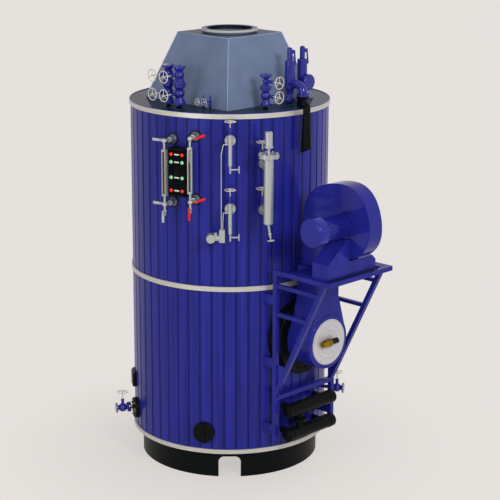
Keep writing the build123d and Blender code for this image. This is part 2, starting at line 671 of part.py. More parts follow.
def safety_right():
    """Valve whose outlet flange is closed by a blind cover."""
    x, y = SAFETY_RIGHT_PLACE
    out = heading(SAFETY_OUTLET_BEARING)
    centre = Vector(x, y, Z_TOP + SAFETY_OUTLET_HEIGHT)
    body = safety_valve(SAFETY_RIGHT_PLACE)
    body += rod(46, centre, centre + out * 76)
    body += rounded_disc(SAFETY_OUTLET_FLANGE_RADIUS, SAFETY_COVER_THICKNESS, SAFETY_COVER_ROUND,
                         centre + out * 70, out)
    return body


def discharge_start():
    x, y = SAFETY_LEFT_PLACE
    return Vector(x, y, Z_TOP + DISCHARGE_FLANGE_RISE) + heading(SAFETY_OUTLET_BEARING) * DISCHARGE_REACH


def discharge_pipe():
    """Pipe over the rim and down the casing, ending in a slanted mouth."""
    start = discharge_start()
    run_z = Z_TOP + DISCHARGE_RUN_HEIGHT
    x, y = on_circle(DISCHARGE_CIRCLE_RADIUS, DISCHARGE_BEARING)
    corner = Vector(x, y, run_z)
    low = Vector(x, y, Z_PLATE)
    path = FilletPolyline(Vector(start.X, start.Y, start.Z), Vector(start.X, start.Y, run_z), corner, low,
                          radius=46)
    pipe = sweep(Plane(origin=start, z_dir=DOWN) * Circle(DISCHARGE_RADIUS), path=path)
    pipe += rod(62, start, start + DOWN * 16)
    pipe += rod(DRIP_POT_RADIUS, start, Vector(start.X, start.Y, Z_TOP + DRIP_POT_GAP))
    drop = Z_PLATE - DISCHARGE_END_HEIGHT + DISCHARGE_MOUTH_RADIUS
    mouth = turned(((0, 0), (DISCHARGE_RADIUS, 0), (DISCHARGE_MOUTH_RADIUS, drop), (0, drop)), low, DOWN)
    bore = turned(((0, -20), (DISCHARGE_RADIUS - 5, 0), (DISCHARGE_MOUTH_RADIUS - 5, drop), (0, drop)),
                  low, DOWN)
    cutter = Plane(origin=(x, y, DISCHARGE_END_HEIGHT), z_dir=Vector(0.42, 0.1, -1)) * Box(
        DISCHARGE_CUTTER, DISCHARGE_CUTTER, DISCHARGE_CUTTER, align=FROM_BASE)
    return pipe + mouth - bore - cutter


# Front fittings

def lever(pin, direction, hang):
    """Flat cock lever: its pin runs along a direction and its blade along another."""
    pin, direction, hang = Vector(*pin), Vector(*direction), Vector(*hang)
    plane = Plane(origin=pin, x_dir=hang, z_dir=direction)
    blade = Pos(LEVER_LENGTH / 2, 0) * SlotCenterToCenter(LEVER_LENGTH, LEVER_WIDTH)
    shape = extrude(blade, LEVER_THICKNESS)
    shape += Pos(0, 0, -SPINDLE_ENGAGEMENT) * Cylinder(
        LEVER_PIN_RADIUS, SPINDLE_ENGAGEMENT + LEVER_THICKNESS + 4, align=FROM_BASE)
    return plane * shape


def pin_bore(pin, direction):
    pin, direction = Vector(*pin), Vector(*direction)
    depth = SPINDLE_ENGAGEMENT + SPINDLE_END_GAP
    return rod(LEVER_PIN_RADIUS + SPINDLE_CLEARANCE, pin - direction * depth, pin + direction * 2)


def gauge(bearing, heights, side, rise):
    """Level gauge: bosses, cocks, framed glass and drain, with levers on one side."""
    low, high = heights
    y = -GAUGE_AXIS_RADIUS
    body = Part()
    levers, bores = [], []
    for z in heights:
        boss = ((0, 0), (GAUGE_BOSS_RADIUS, 0), (GAUGE_BOSS_RADIUS, 34), (30, 52), (24, 100), (0, 100))
        body += turned(boss, (0, -CASING_RADIUS + CASING_SEAT, z), OUT)
        body += rod(16, (0, -CASING_RADIUS, z), (0, y, z))
        body += Pos(0, y, z) * Sphere(24)
        cock, face = -GAUGE_COCK_RADIUS, -GAUGE_COCK_RADIUS - 24
        body += rod(15, (0, cock, z), (side * GAUGE_COCK_OFFSET, cock, z))
        body += rod(14, (side * GAUGE_COCK_OFFSET, cock + 14, z), (side * GAUGE_COCK_OFFSET, face, z))
        pin = (side * GAUGE_COCK_OFFSET, face, z)
        bores.append(pin_bore(pin, OUT))
        levers.append(lever(pin, OUT, (side * cos(radians(rise)), 0, sin(radians(rise)))))
    body += rod(GAUGE_PIPE_RADIUS, (0, y, low - GAUGE_DRAIN_DROP), (0, y, high))
    frame_z = (low + GAUGE_FRAME_MARGIN, high - GAUGE_FRAME_MARGIN)
    half = GAUGE_FRAME_WIDTH / 2
    body += block((-half, half), (y - GAUGE_FRAME_DEPTH / 2, y + GAUGE_FRAME_DEPTH / 2), frame_z)
    glass = GAUGE_GLASS_WIDTH / 2
    body -= block((-glass, glass), (y - GAUGE_FRAME_DEPTH, y - GAUGE_FRAME_DEPTH / 2 + 8),
                  (frame_z[0] + 22, frame_z[1] - 22))
    drain = (0, y, low - GAUGE_DRAIN_DROP + 44)
    body += Pos(*drain) * Sphere(18)
    body += rod(12, drain, (0, y - 30, drain[2]))
    pin = (0, y - 30, drain[2])
    bores.append(pin_bore(pin, (0, -1, 0)))
    levers.append(lever(pin, (0, -1, 0), DOWN))
    for bore in bores:
        body -= bore
    body = seated(body)
    return turn_to(bearing, body), [turn_to(bearing, piece) for piece in levers]


def level_panel():
    """Dark box of lamps between the gauges, its back cut to the casing."""
    half = PANEL_WIDTH / 2
    box = block((-half, half), (-PANEL_FACE_RADIUS, -CASING_RADIUS + CASING_SEAT * 2),
                (PANEL_BOTTOM, PANEL_BOTTOM + PANEL_HEIGHT))
    box = chamfer(box.edges().filter_by(Axis.Z).group_by(Axis.Y)[0], 10)
    return turn_to(PANEL_BEARING, seated(box))


def root_valve(height, diameter, rise):
    """Stub, ball and flange pair on the casing, with a wheel above."""
    radius = ROOT_VALVE_RADIUS
    centre = (0, -radius, height)
    wall = (0, -CASING_RADIUS + CASING_SEAT, height)
    body = rod(24, wall, (0, -radius - ROOT_STUB_LENGTH, height))
    body += rod(ROOT_SEAT_RADIUS, wall, (0, -CASING_RADIUS - ROOT_SEAT_THICKNESS, height))
    body += Pos(*centre) * Sphere(ROOT_BALL_RADIUS)
    face = -radius - ROOT_BALL_RADIUS
    for k in range(2):
        start = face - k * (ROOT_FLANGE_THICKNESS + 1)
        body += rod(ROOT_FLANGE_RADIUS, (0, start, height), (0, start - ROOT_FLANGE_THICKNESS, height))
    fixed, bore, wheel = bonnet_with_wheel(diameter, centre, UP, rise * 0.65, rise)
    return seated(body + fixed - bore), wheel


def level_pot(height):
    """Root valve with the narrow pot in front of its flange and a T-handled drain."""
    body, wheel = root_valve(height, POT_WHEEL_DIAMETER, POT_WHEEL_RISE)
    y = -POT_AXIS_RADIUS
    top = height + POT_TOP_RISE
    foot = top - POT_LENGTH
    body += rod(POT_RADIUS, (0, y, foot), (0, y, top))
    body += rod(16, (0, -ROOT_VALVE_RADIUS - ROOT_STUB_LENGTH, height), (0, y, height))
    body += rod(9, (0, y, foot - POT_DRAIN_DROP), (0, y, foot + 4))
    drain = foot - POT_HANDLE_DROP
    body += rod(8, (0, y, drain), (POT_HANDLE_REACH, y, drain))
    body += rod(7, (POT_HANDLE_REACH, y, drain - POT_HANDLE_HALF_LENGTH),
                (POT_HANDLE_REACH, y, drain + POT_HANDLE_HALF_LENGTH))
    stub = height - POT_STUB_DROP
    body += rod(8, (0, y, stub), (-POT_STUB_REACH, y, stub))
    return turn_to(POT_BEARING, body), turn_to(POT_BEARING, wheel)


def sensing_tubes():
    """Thin tubes from the two pots down to the transmitter."""
    x, y = TRANSMITTER_OFFSET, -POT_AXIS_RADIUS
    tubes = []
    for index, height in enumerate(POT_VALVE_HEIGHTS):
        stub = height - POT_STUB_DROP
        spread = x + 7 - 14 * index
        points = [Vector(-POT_STUB_REACH, y, stub), Vector(x + 14, y, stub),
                  Vector(spread, y, stub - SENSING_TUBE_SLANT),
                  Vector(spread, y, TRANSMITTER_HEIGHT + TRANSMITTER_TOP)]
        path = FilletPolyline(*points, radius=6)
        tubes.append(sweep(Plane(origin=points[0], z_dir=LEFT) * Circle(SENSING_TUBE_RADIUS), path=path))
    return turn_to(POT_BEARING, tubes[0] + tubes[1])


def level_transmitter():
    """Manifold block, sensor body and round housing, on a bracket from the casing."""
    x, y, z = TRANSMITTER_OFFSET, -POT_AXIS_RADIUS, TRANSMITTER_HEIGHT
    housing = x - TRANSMITTER_HOUSING_REACH
    body = block((x - 27, x + 27), (y - 32, y + 32), (z - 70, z + TRANSMITTER_TOP))
    body += rod(30, (x - 20, y, z - 30), (x - 78, y, z - 30))
    body += rod(42, (housing, y + 42, z - 30), (housing, y - 46, z - 30))
    body += rod(18, (x - 62, y, z - 30), (x - 62, y, z + 22))
    body += block((x - 20, x + 20), (y + 24, -CASING_RADIUS + CASING_SEAT), (z - 22, z + 22))
    return turn_to(POT_BEARING, seated(body))


def column_drain():
    """Place of the drain valve under the column, and the way its spindle points."""
    place = Vector(COLUMN_DRAIN_OFFSET, -COLUMN_AXIS_RADIUS - 6, COLUMN_DRAIN_HEIGHT + COLUMN_DRAIN_REACH)
    return place, Vector(0.12, -0.12, -1).normalized()


def electrode_column():
    """Tall chamber with its flanged electrode head and slanting drain."""
    y = -COLUMN_AXIS_RADIUS
    wide, groove = COLUMN_FLANGE_RADIUS, COLUMN_FLANGE_RADIUS - COLUMN_FLANGE_GROOVE
    seam = COLUMN_FLANGE_HEIGHT + COLUMN_FLANGE_THICKNESS
    cover = seam + COLUMN_FLANGE_GAP
    neck = cover + COLUMN_FLANGE_THICKNESS
    head, cap = COLUMN_HEAD_RADIUS, COLUMN_TOP - COLUMN_HEAD_LENGTH
    lip = cap + COLUMN_HEAD_LIP
    outline = (
        (0, COLUMN_BOTTOM), (COLUMN_TUBE_RADIUS - 6, COLUMN_BOTTOM), (COLUMN_TUBE_RADIUS, COLUMN_BOTTOM + 8),
        (COLUMN_TUBE_RADIUS, COLUMN_FLANGE_HEIGHT - 2), (wide, COLUMN_FLANGE_HEIGHT), (wide, seam),
        (groove, seam), (groove, cover), (wide, cover), (wide, neck), (COLUMN_NECK_RADIUS, neck),
        (COLUMN_NECK_RADIUS, cap), (head + 8, cap), (head + 8, lip), (head, lip), (head, COLUMN_TOP - 4),
        (head - 4, COLUMN_TOP), (0, COLUMN_TOP),
    )
    body = turned(outline, (0, y, 0), UP)
    drain, way = column_drain()
    body += rod(COLUMN_DRAIN_RADIUS, (0, y, COLUMN_BOTTOM + 10), drain)
    body += Pos(*drain) * Sphere(17)
    fixed, bore, wheel = bonnet_with_wheel(SMALL_WHEEL_DIAMETER, drain, way, 34, COLUMN_DRAIN_REACH, 4, 9)
    return turn_to(COLUMN_BEARING, body + fixed - bore), turn_to(COLUMN_BEARING, wheel)


def electrode_valves():
    """Two root valves that join the column to the casing."""
    bodies, wheels = [], []
    for height in COLUMN_VALVE_HEIGHTS:
        body, wheel = root_valve(height, WHEEL_DIAMETER, COLUMN_WHEEL_RISE)
        body += rod(20, (0, -ROOT_VALVE_RADIUS, height), (0, -COLUMN_AXIS_RADIUS, height))
        tube = rod(COLUMN_TUBE_RADIUS, (0, -COLUMN_AXIS_RADIUS, COLUMN_BOTTOM),
                   (0, -COLUMN_AXIS_RADIUS, COLUMN_FLANGE_HEIGHT))
        bodies.append(turn_to(COLUMN_BEARING, body - tube))
        wheels.append(turn_to(COLUMN_BEARING, wheel))
    return bodies, wheels


def handhole(bearing, height, yoke=True):
    """Round inspection cover, held by a yoke bar with a centre nut where nothing is piped to it."""
    start = (0, -CASING_RADIUS + CASING_SEAT, height)
    face = CASING_SEAT + HANDHOLE_THICKNESS
    outline = ((0, 0), (HANDHOLE_RADIUS, 0), (HANDHOLE_RADIUS, face - HANDHOLE_EDGE),
               (HANDHOLE_RADIUS - HANDHOLE_EDGE, face), (0, face))
    cover = turned(outline, start, OUT)
    if yoke:
        front = -CASING_RADIUS - HANDHOLE_THICKNESS
        half = YOKE_LENGTH / 2
        cover += block((-YOKE_WIDTH / 2, YOKE_WIDTH / 2), (front - YOKE_THICKNESS, front),
                       (height - half, height + half))
        bar_face = Plane(origin=(0, front - YOKE_THICKNESS, height), z_dir=OUT)
        cover += extrude(bar_face * RegularPolygon(YOKE_NUT_RADIUS, 6), YOKE_NUT_RADIUS)
    return turn_to(bearing, seated(cover))


def side_cover():
    bearing, height = SIDE_COVER
    width, tall = SIDE_COVER_SIZE
    box = block((-width / 2, width / 2), (-CASING_RADIUS - HANDHOLE_THICKNESS, -CASING_RADIUS + CASING_SEAT),
                (height - tall / 2, height + tall / 2))
    box = chamfer(box.edges().filter_by(Axis.X).group_by(Axis.Y)[0].group_by(Axis.Z)[-1],
                  SIDE_COVER_CHAMFER)
    return turn_to(bearing, seated(box))


def blowdown(bearing, height, seat):
    """Flanged valve on a stub from the casing, with a wheel on a tall spindle."""
    centre = (0, -BLOWDOWN_VALVE_RADIUS, height)
    body = rod(18, (0, -seat, height), (0, -BLOWDOWN_VALVE_RADIUS, height))
    body += Pos(*centre) * Sphere(BLOWDOWN_BALL_RADIUS)
    for side in (-1, 1):
        start = (0, -BLOWDOWN_VALVE_RADIUS - side * BLOWDOWN_FLANGE_OFFSET, height)
        body += flange(BLOWDOWN_FLANGE_RADIUS, 12, 22, 34, start, Vector(0, side, 0))
    inner = -BLOWDOWN_VALVE_RADIUS + BLOWDOWN_FLANGE_OFFSET
    body += rod(BLOWDOWN_FLANGE_RADIUS, (0, inner, height), (0, inner + 12, height))
    fixed, bore, wheel = bonnet_with_wheel(WHEEL_DIAMETER * 0.86, centre, UP, BLOWDOWN_BONNET_LENGTH,
                                           BLOWDOWN_WHEEL_RISE, 5)
    return turn_to(bearing, seated(body + fixed - bore)), turn_to(bearing, wheel)


# Burner and fan

def furnace_mouth():
    """Dark ring on the casing that carries the windbox."""
    disc = rod(MOUTH_RADIUS, (0, -CASING_RADIUS * 0.8, BURNER_HEIGHT), (0, -MOUTH_FACE_RADIUS, BURNER_HEIGHT))
    disc = chamfer(disc.edges().group_by(Axis.Y)[0], 10)
    return turn_to(BURNER_BEARING, seated(disc))


def windbox():
    drum = rod(DRUM_RADIUS, (0, -MOUTH_FACE_RADIUS, BURNER_HEIGHT), (0, -DRUM_FACE_RADIUS, BURNER_HEIGHT))
    return turn_to(BURNER_BEARING, fillet(drum.edges().group_by(Axis.Y)[0], 10))


def duct_section(half_width, height):
    middle = -(DUCT_BACK_RADIUS + DUCT_FRONT_RADIUS) / 2
    return Pos(0, middle, height) * Rectangle(2 * half_width, DUCT_FRONT_RADIUS - DUCT_BACK_RADIUS)


def air_duct():
    """Air duct that widens from the fan's outlet down to the windbox drum."""
    floor = FRAME_TOP + DECK_THICKNESS
    straight = extrude(duct_section(DUCT_HALF_WIDTH, DUCT_FLARE_TOP), floor - DUCT_FLARE_TOP)
    foot_height = BURNER_HEIGHT + DRUM_RADIUS * 0.12
    foot_half = DRUM_RADIUS * 0.985
    flare = loft([duct_section(foot_half, foot_height).face(),
                  duct_section(DUCT_HALF_WIDTH, DUCT_FLARE_TOP).face()])
    drum = rod(DRUM_RADIUS, (0, -DUCT_BACK_RADIUS + 60, BURNER_HEIGHT),
               (0, -DUCT_FRONT_RADIUS - 60, BURNER_HEIGHT))
    return turn_to(BURNER_BEARING, straight + flare - drum)


def burner_plate():
    start = (0, -DRUM_FACE_RADIUS, BURNER_HEIGHT)
    face = PLATE_THICKNESS + PLATE_RING_PROUD
    outline = ((0, 0), (PLATE_RADIUS, 0), (PLATE_RADIUS, PLATE_THICKNESS - 2))
    outline += ((PLATE_RADIUS - 2, PLATE_THICKNESS), (PLATE_RING_RADIUS + 2, PLATE_THICKNESS),
                (PLATE_RING_RADIUS, face), (0, face))
    return turn_to(BURNER_BEARING, turned(outline, start, OUT))


def burner_gun():
    """Brass sight fitting on a dark cross cylinder, held off the burner plate by its pipe."""
    face = -DRUM_FACE_RADIUS - PLATE_THICKNESS - PLATE_RING_PROUD
    y, z = face - GUN_STANDOFF, BURNER_HEIGHT + GUN_RISE
    pipe_x = GUN_OFFSET + GUN_SLEEVE_LENGTH / 2
    body = rod(GUN_PIPE_RADIUS, (pipe_x, face, z), (pipe_x, y, z))
    body += rod(GUN_SLEEVE_RADIUS, (GUN_OFFSET, y, z), (GUN_OFFSET + GUN_SLEEVE_LENGTH, y, z))
    wide, waist = GUN_HEAD_RADIUS, GUN_HEAD_RADIUS - 4
    brass = ((0, 0), (GUN_SLEEVE_RADIUS + 6, 0), (GUN_SLEEVE_RADIUS + 6, GUN_COLLAR), (wide, GUN_COLLAR),
             (wide, 3 * GUN_COLLAR), (waist, 3 * GUN_COLLAR), (waist, GUN_HEAD_LENGTH - 3 * GUN_COLLAR),
             (waist - GUN_COLLAR, GUN_HEAD_LENGTH), (0, GUN_HEAD_LENGTH))
    body += turned(brass, (GUN_OFFSET, y, z), LEFT)
    return turn_to(BURNER_BEARING, body)


def scroll_outline():
    """Fan scroll seen from its side: a spiral that ends in the outlet above the deck."""
    points = []
    for angle, radius in zip(SCROLL_ANGLES, SCROLL_RADII):
        out = FAN_AXIS_RADIUS + radius * cos(radians(angle))
        points.append((out, FAN_AXIS_HEIGHT + radius * sin(radians(angle))))
    start = radians(SCROLL_ANGLES[0] + 90)
    tangent = Vector(cos(start), sin(start))
    edges = []
    for near, far in zip(points, points[1:]):
        edges.append(TangentArc(near, far, tangent=tangent))
        tangent = edges[-1] % 1
    floor = FRAME_TOP + DECK_THICKNESS
    tongue = (SCROLL_OUTLET_FRONT, FRAME_TOP + SCROLL_TONGUE_RISE)
    underside = (SCROLL_UNDERSIDE_RADIUS, FRAME_TOP + SCROLL_UNDERSIDE_RISE)
    edges += Polyline(points[-1], (points[-1][0], floor), (SCROLL_OUTLET_FRONT, floor), tongue).edges()
    edges.append(ThreePointArc(tongue, underside, points[0]))
    return make_face(edges)


def fan_scroll():
    """Scroll casing with side plates standing proud of the rim."""
    side = Plane(origin=(0, 0, 0), x_dir=(0, -1, 0), z_dir=(-1, 0, 0))
    rim = extrude(side * scroll_outline(), SCROLL_HALF_WIDTH, both=True)
    eye = rod(FAN_EYE_RADIUS, (SCROLL_HALF_WIDTH, -FAN_AXIS_RADIUS, FAN_AXIS_HEIGHT),
              (SCROLL_HALF_WIDTH + 30, -FAN_AXIS_RADIUS, FAN_AXIS_HEIGHT))
    inner = rod(FAN_EYE_RADIUS - 14, (SCROLL_HALF_WIDTH - 40, -FAN_AXIS_RADIUS, FAN_AXIS_HEIGHT),
                (SCROLL_HALF_WIDTH + 60, -FAN_AXIS_RADIUS, FAN_AXIS_HEIGHT))
    reach = SCROLL_FLANGE_REACH
    back = FAN_AXIS_RADIUS - SCROLL_RADII[-1]
    wide = SCROLL_HALF_WIDTH + reach
    low = FRAME_TOP + SCROLL_FLANGE_RISE
    collar = block((-wide, wide), (-SCROLL_OUTLET_FRONT - reach, -back + reach),
                   (low, low + SCROLL_FLANGE_THICKNESS))
    return turn_to(BURNER_BEARING, rim + eye + collar - inner)


def fan_motor():
    """Flange-mounted motor with its cooling fins and rounded end cowl."""
    y, z = -FAN_AXIS_RADIUS, FAN_AXIS_HEIGHT
    mount = -SCROLL_HALF_WIDTH
    cowl_end = MOTOR_FACE_OFFSET + MOTOR_COWL_LENGTH
    body = rod(MOTOR_BODY_RADIUS, (mount, y, z), (cowl_end, y, z))
    body += rod(MOTOR_FLANGE_RADIUS, (mount, y, z), (mount - MOTOR_FLANGE_THICKNESS, y, z))
    body += rounded_disc(MOTOR_RADIUS, MOTOR_COWL_LENGTH, MOTOR_COWL_ROUND, (cowl_end, y, z), LEFT)
    half = MOTOR_FIN_THICKNESS / 2
    fin = block((cowl_end - 10, mount - MOTOR_FLANGE_THICKNESS - 30), (-half, half),
                (MOTOR_BODY_RADIUS - 10, MOTOR_FIN_RADIUS))
    for k in range(MOTOR_FIN_COUNT):
        body += Pos(0, y, z) * Rot(k * 360 / MOTOR_FIN_COUNT, 0, 0) * fin
    return turn_to(BURNER_BEARING, body)


def fan_pedestal():
    """Bent-plate seat under the motor, standing on the deck beside the scroll."""
    base = FRAME_TOP + DECK_THICKNESS
    crown = FAN_AXIS_HEIGHT - MOTOR_FLANGE_RADIUS
    inner = -SCROLL_HALF_WIDTH
    outline = [
        (PEDESTAL_LEFT, base), (PEDESTAL_LEFT, base + PEDESTAL_SIDE_HEIGHT), (inner - 30, crown),
        (inner, crown), (inner, base + PEDESTAL_REST_HEIGHT),
        (PEDESTAL_RIGHT - PEDESTAL_CHAMFER, base + PEDESTAL_REST_HEIGHT),
        (PEDESTAL_RIGHT, base + PEDESTAL_REST_HEIGHT - PEDESTAL_CHAMFER), (PEDESTAL_RIGHT, base),
    ]
    face = make_face(Polyline(*[(x, -PEDESTAL_BACK_RADIUS, z) for x, z in outline], close=True))
    body = extrude(face, PEDESTAL_FRONT_RADIUS - PEDESTAL_BACK_RADIUS, dir=(0, -1, 0))
    return turn_to(BURNER_BEARING, body)


def frame_side(side):
    """One side of the support frame: post, rails, the long diagonal, its gusset and the wall pads."""
    x = side * FRAME_HALF_WIDTH
    half = FRAME_TUBE / 2
    post, front = -FRAME_POST_RADIUS, -FRAME_FRONT_RADIUS
    top = FRAME_TOP - half
    foot = Vector(x, post, FRAME_DIAGONAL_FOOT)
    head = Vector(x, -FRAME_DIAGONAL_HEAD, top)
    run = head - foot
    bars = [
        tube_between((x, post, FRAME_BOTTOM), (x, post, FRAME_TOP), FRAME_TUBE),
        tube_between((x, post, top), (x, front, top), FRAME_TUBE),
        tube_between(foot, head, FRAME_TUBE),
    ]
    for height in (FRAME_SECOND_RAIL, FRAME_THIRD_RAIL):
        end = foot + run * ((height - foot.Z) / run.Z)
        bars.append(tube_between((x, post, height), end, FRAME_TUBE * FRAME_RAIL_RATIO))
    corner = foot + run * ((FRAME_GUSSET_TOP - foot.Z) / run.Z)
    gusset = make_face(Polyline(foot, corner, (x, post, FRAME_GUSSET_TOP), close=True))
    bars.append(extrude(gusset, GUSSET_THICKNESS / 2, both=True))
    wall = -sqrt(CASING_RADIUS**2 - FRAME_HALF_WIDTH**2) + CASING_SEAT * 2
    for rise in FRAME_PAD_RISES:
        middle = BURNER_HEIGHT + rise
        low, high = middle - FRAME_PAD_HEIGHT / 2, middle + FRAME_PAD_HEIGHT / 2
        bars.append(seated(block((x - half, x + half), (post + half, wall), (low, high))))
    return [turn_to(BURNER_BEARING, bar) for bar in welded(*bars)]


def deck():
    """Front, cross and right-hand rails, the plate that the fan stands on, and the tie rail."""
    half = FRAME_TUBE / 2
    inside = FRAME_HALF_WIDTH - half
    outside = FRAME_HALF_WIDTH + half
    post = (-FRAME_POST_RADIUS - half, -FRAME_POST_RADIUS + half)
    front = (-FRAME_FRONT_RADIUS, -FRAME_FRONT_RADIUS + FRAME_TUBE)
    cross = (-DECK_CROSS_RADIUS - FRAME_TUBE, -DECK_CROSS_RADIUS)
    z = (FRAME_TOP - FRAME_TUBE, FRAME_TOP)
    sheet = (FRAME_TOP, FRAME_TOP + DECK_THICKNESS)
    duct = DUCT_HALF_WIDTH + DUCT_CLEARANCE
    plate = block((PEDESTAL_LEFT, PEDESTAL_RIGHT), (-PEDESTAL_FRONT_RADIUS, -DECK_BACK_RADIUS), sheet)
    plate -= block((-duct, duct), (-DUCT_FRONT_RADIUS - DUCT_CLEARANCE, -DECK_BACK_RADIUS), sheet)
    bars = welded(
        block((-inside, inside), front, z),
        block((-inside, inside), cross, z),
        plate,
        block((outside, DECK_RIGHT), front, z),
        block((outside, DECK_RIGHT), post, z),
        block((DECK_RIGHT - FRAME_TUBE, DECK_RIGHT), (front[0], post[1]), z),
        block((-inside, inside), post, (FRAME_TIE_RAIL - half, FRAME_TIE_RAIL + half)),
    )
    return [turn_to(BURNER_BEARING, seated(bar)) for bar in bars]


def oil_heaters():
    """Two level heater cylinders, the pipe that joins them and their saddles."""
    half = HEATER_LENGTH / 2
    y = -HEATER_AXIS_RADIUS
    low, high = HEATER_HEIGHTS
    shapes = []
    for z in HEATER_HEIGHTS:
        cylinder = rod(HEATER_RADIUS, (-half, y, z), (half, y, z))
        shapes.append(fillet(cylinder.edges(), HEATER_END_ROUND))
    x, middle = HEATER_LINK_OFFSET, (low + high) / 2
    half_flange = HEATER_LINK_FLANGE_THICKNESS / 2
    link = rod(HEATER_LINK_RADIUS, (x, y, low), (x, y, high))
    link += rod(HEATER_LINK_FLANGE_RADIUS, (x, y, middle - half_flange), (x, y, middle + half_flange))
    shapes.append(link)
    wide, tall = HEATER_SADDLE_SIZE[0] / 2, HEATER_SADDLE_SIZE[1] / 2
    for z in HEATER_HEIGHTS:
        for x in (-HEATER_SADDLE_OFFSET, HEATER_SADDLE_OFFSET):
            saddle = block((x - wide, x + wide), (y, -CASING_RADIUS * 0.88), (z - tall, z + tall))
            shapes.append(seated(saddle))
    return [turn_to(BURNER_BEARING, solid) for solid in welded(*shapes)]


def save(name, *shapes):
    shape = shapes[0] if len(shapes) == 1 else Compound(children=list(shapes))
    export_step(shape, f"parts/{name}.step")


def main():
    os.makedirs("parts", exist_ok=True)
    save("foundation_skirt", skirt())
    save("pressure_shell", pressure_shell())
    save("casing_lower", casing(Z_CASING_LOWER, LOWER_CASING_HEIGHT))
    save("casing_upper", casing(Z_CASING_UPPER, UPPER_CASING_HEIGHT))
    save("casing_bands", *bands())
    save("top_plate", top_plate())
    save("smoke_box", *smoke_box())
    save("flue_outlet", flue_outlet())

    stacks = {
        "feed_rear": (FEED_REAR_BEARING, FEED_WHEEL_BEARING, FEED_WHEEL_REACH, FEED_SECTIONS),
        "feed_front": (FEED_FRONT_BEARING, FEED_WHEEL_BEARING, FEED_WHEEL_REACH, FEED_SECTIONS),
        "steam": (STEAM_BEARING, STEAM_WHEEL_BEARING, STEAM_WHEEL_REACH, STEAM_SECTIONS),
    }
    for name, (bearing, wheel_bearing, reach, sections) in stacks.items():
        place = on_circle(STACK_CIRCLE_RADIUS, bearing)
        body, wheels = valve_stack(place, wheel_bearing, reach, sections)
        save(f"{name}_stack", body)
        for level, wheel in zip(("lower", "upper"), wheels):
            save(f"{name}_{level}_wheel", wheel)
    vents = [vent_valve(place) for place in VENT_PLACES]
    save("vent_valves", *[body for body, wheel in vents])
    for side, (body, wheel) in zip(("left", "right"), vents):
        save(f"vent_{side}_wheel", wheel)

    save("safety_valve_left", safety_left())
    save("safety_valve_right", safety_right())
    save("discharge_pipe", discharge_pipe())

    gauges = {"left": (GAUGE_LEFT_BEARING, GAUGE_LEFT_HEIGHTS, -1, GAUGE_LEFT_LEVER_RISE),
              "right": (GAUGE_RIGHT_BEARING, GAUGE_RIGHT_HEIGHTS, 1, GAUGE_RIGHT_LEVER_RISE)}
    for name, (bearing, heights, side, rise) in gauges.items():
        body, levers = gauge(bearing, heights, side, rise)
        save(f"gauge_{name}", body)
        for level, piece in zip(("lower", "upper", "drain"), levers):
            save(f"gauge_{name}_{level}_lever", piece)
    save("level_panel", level_panel())

    pots = [level_pot(height) for height in POT_VALVE_HEIGHTS]
    save("level_pots", *[body for body, wheel in pots])
    for level, (body, wheel) in zip(("lower", "upper"), pots):
        save(f"level_pot_{level}_wheel", wheel)
    save("sensing_tubes", sensing_tubes())
    save("level_transmitter", level_transmitter())

    column, drain_wheel = electrode_column()
    save("electrode_column", column)
    save("electrode_drain_wheel", drain_wheel)
    bodies, wheels = electrode_valves()
    save("electrode_valves", *bodies)
    for level, wheel in zip(("lower", "upper"), wheels):
        save(f"electrode_{level}_wheel", wheel)

    left_cover = handhole(*LEFT_HANDHOLE, yoke=False)
    save("handhole_covers", handhole(*FRONT_HANDHOLE), left_cover, side_cover())
    for name, (bearing, height), seat in (("left", BLOWDOWN_LEFT, CASING_RADIUS + HANDHOLE_THICKNESS),
                                          ("right", BLOWDOWN_RIGHT, CASING_RADIUS - CASING_SEAT)):
        body, wheel = blowdown(bearing, height, seat)
        save(f"blowdown_valve_{name}", body)
        save(f"blowdown_{name}_wheel", wheel)

    save("furnace_mouth", furnace_mouth())
    save("windbox", windbox())
    save("air_duct", air_duct())
    save("burner_plate", burner_plate())
    save("burner_gun", burner_gun())
    save("fan_scroll", fan_scroll())
    save("fan_motor", fan_motor())
    save("fan_pedestal", fan_pedestal())
    save("frame_left", *frame_side(-1))
    save("frame_right", *frame_side(1))
    save("frame_deck", *deck())
    save("oil_heaters", *oil_heaters())


main()
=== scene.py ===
"""Finishes and small fittings of an upright oil-fired steam boiler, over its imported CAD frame."""
from math import cos, pi, radians, sin

import bpy
from mathutils import Matrix, Vector


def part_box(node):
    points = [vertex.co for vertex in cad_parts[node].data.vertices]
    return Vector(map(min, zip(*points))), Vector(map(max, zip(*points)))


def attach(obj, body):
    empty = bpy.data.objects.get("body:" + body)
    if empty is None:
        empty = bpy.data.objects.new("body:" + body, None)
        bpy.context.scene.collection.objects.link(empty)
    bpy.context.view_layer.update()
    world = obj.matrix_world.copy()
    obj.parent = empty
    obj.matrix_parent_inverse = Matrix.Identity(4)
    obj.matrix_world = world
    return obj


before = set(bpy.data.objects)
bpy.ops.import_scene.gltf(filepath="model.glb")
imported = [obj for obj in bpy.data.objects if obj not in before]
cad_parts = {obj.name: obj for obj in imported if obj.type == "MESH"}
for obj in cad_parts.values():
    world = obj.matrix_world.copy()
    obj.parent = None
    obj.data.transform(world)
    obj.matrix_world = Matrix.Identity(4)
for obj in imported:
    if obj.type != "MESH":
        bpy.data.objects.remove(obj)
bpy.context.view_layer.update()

bl_info = {
    "name": "Upright steam boiler",
    "version": (1, 0, 0),
    "blender": (4, 5, 0),
    "location": "View3D > Sidebar > Boiler",
    "description": "Dresses the boiler's frame with its finishes and small fittings",
    "category": "Object",
}

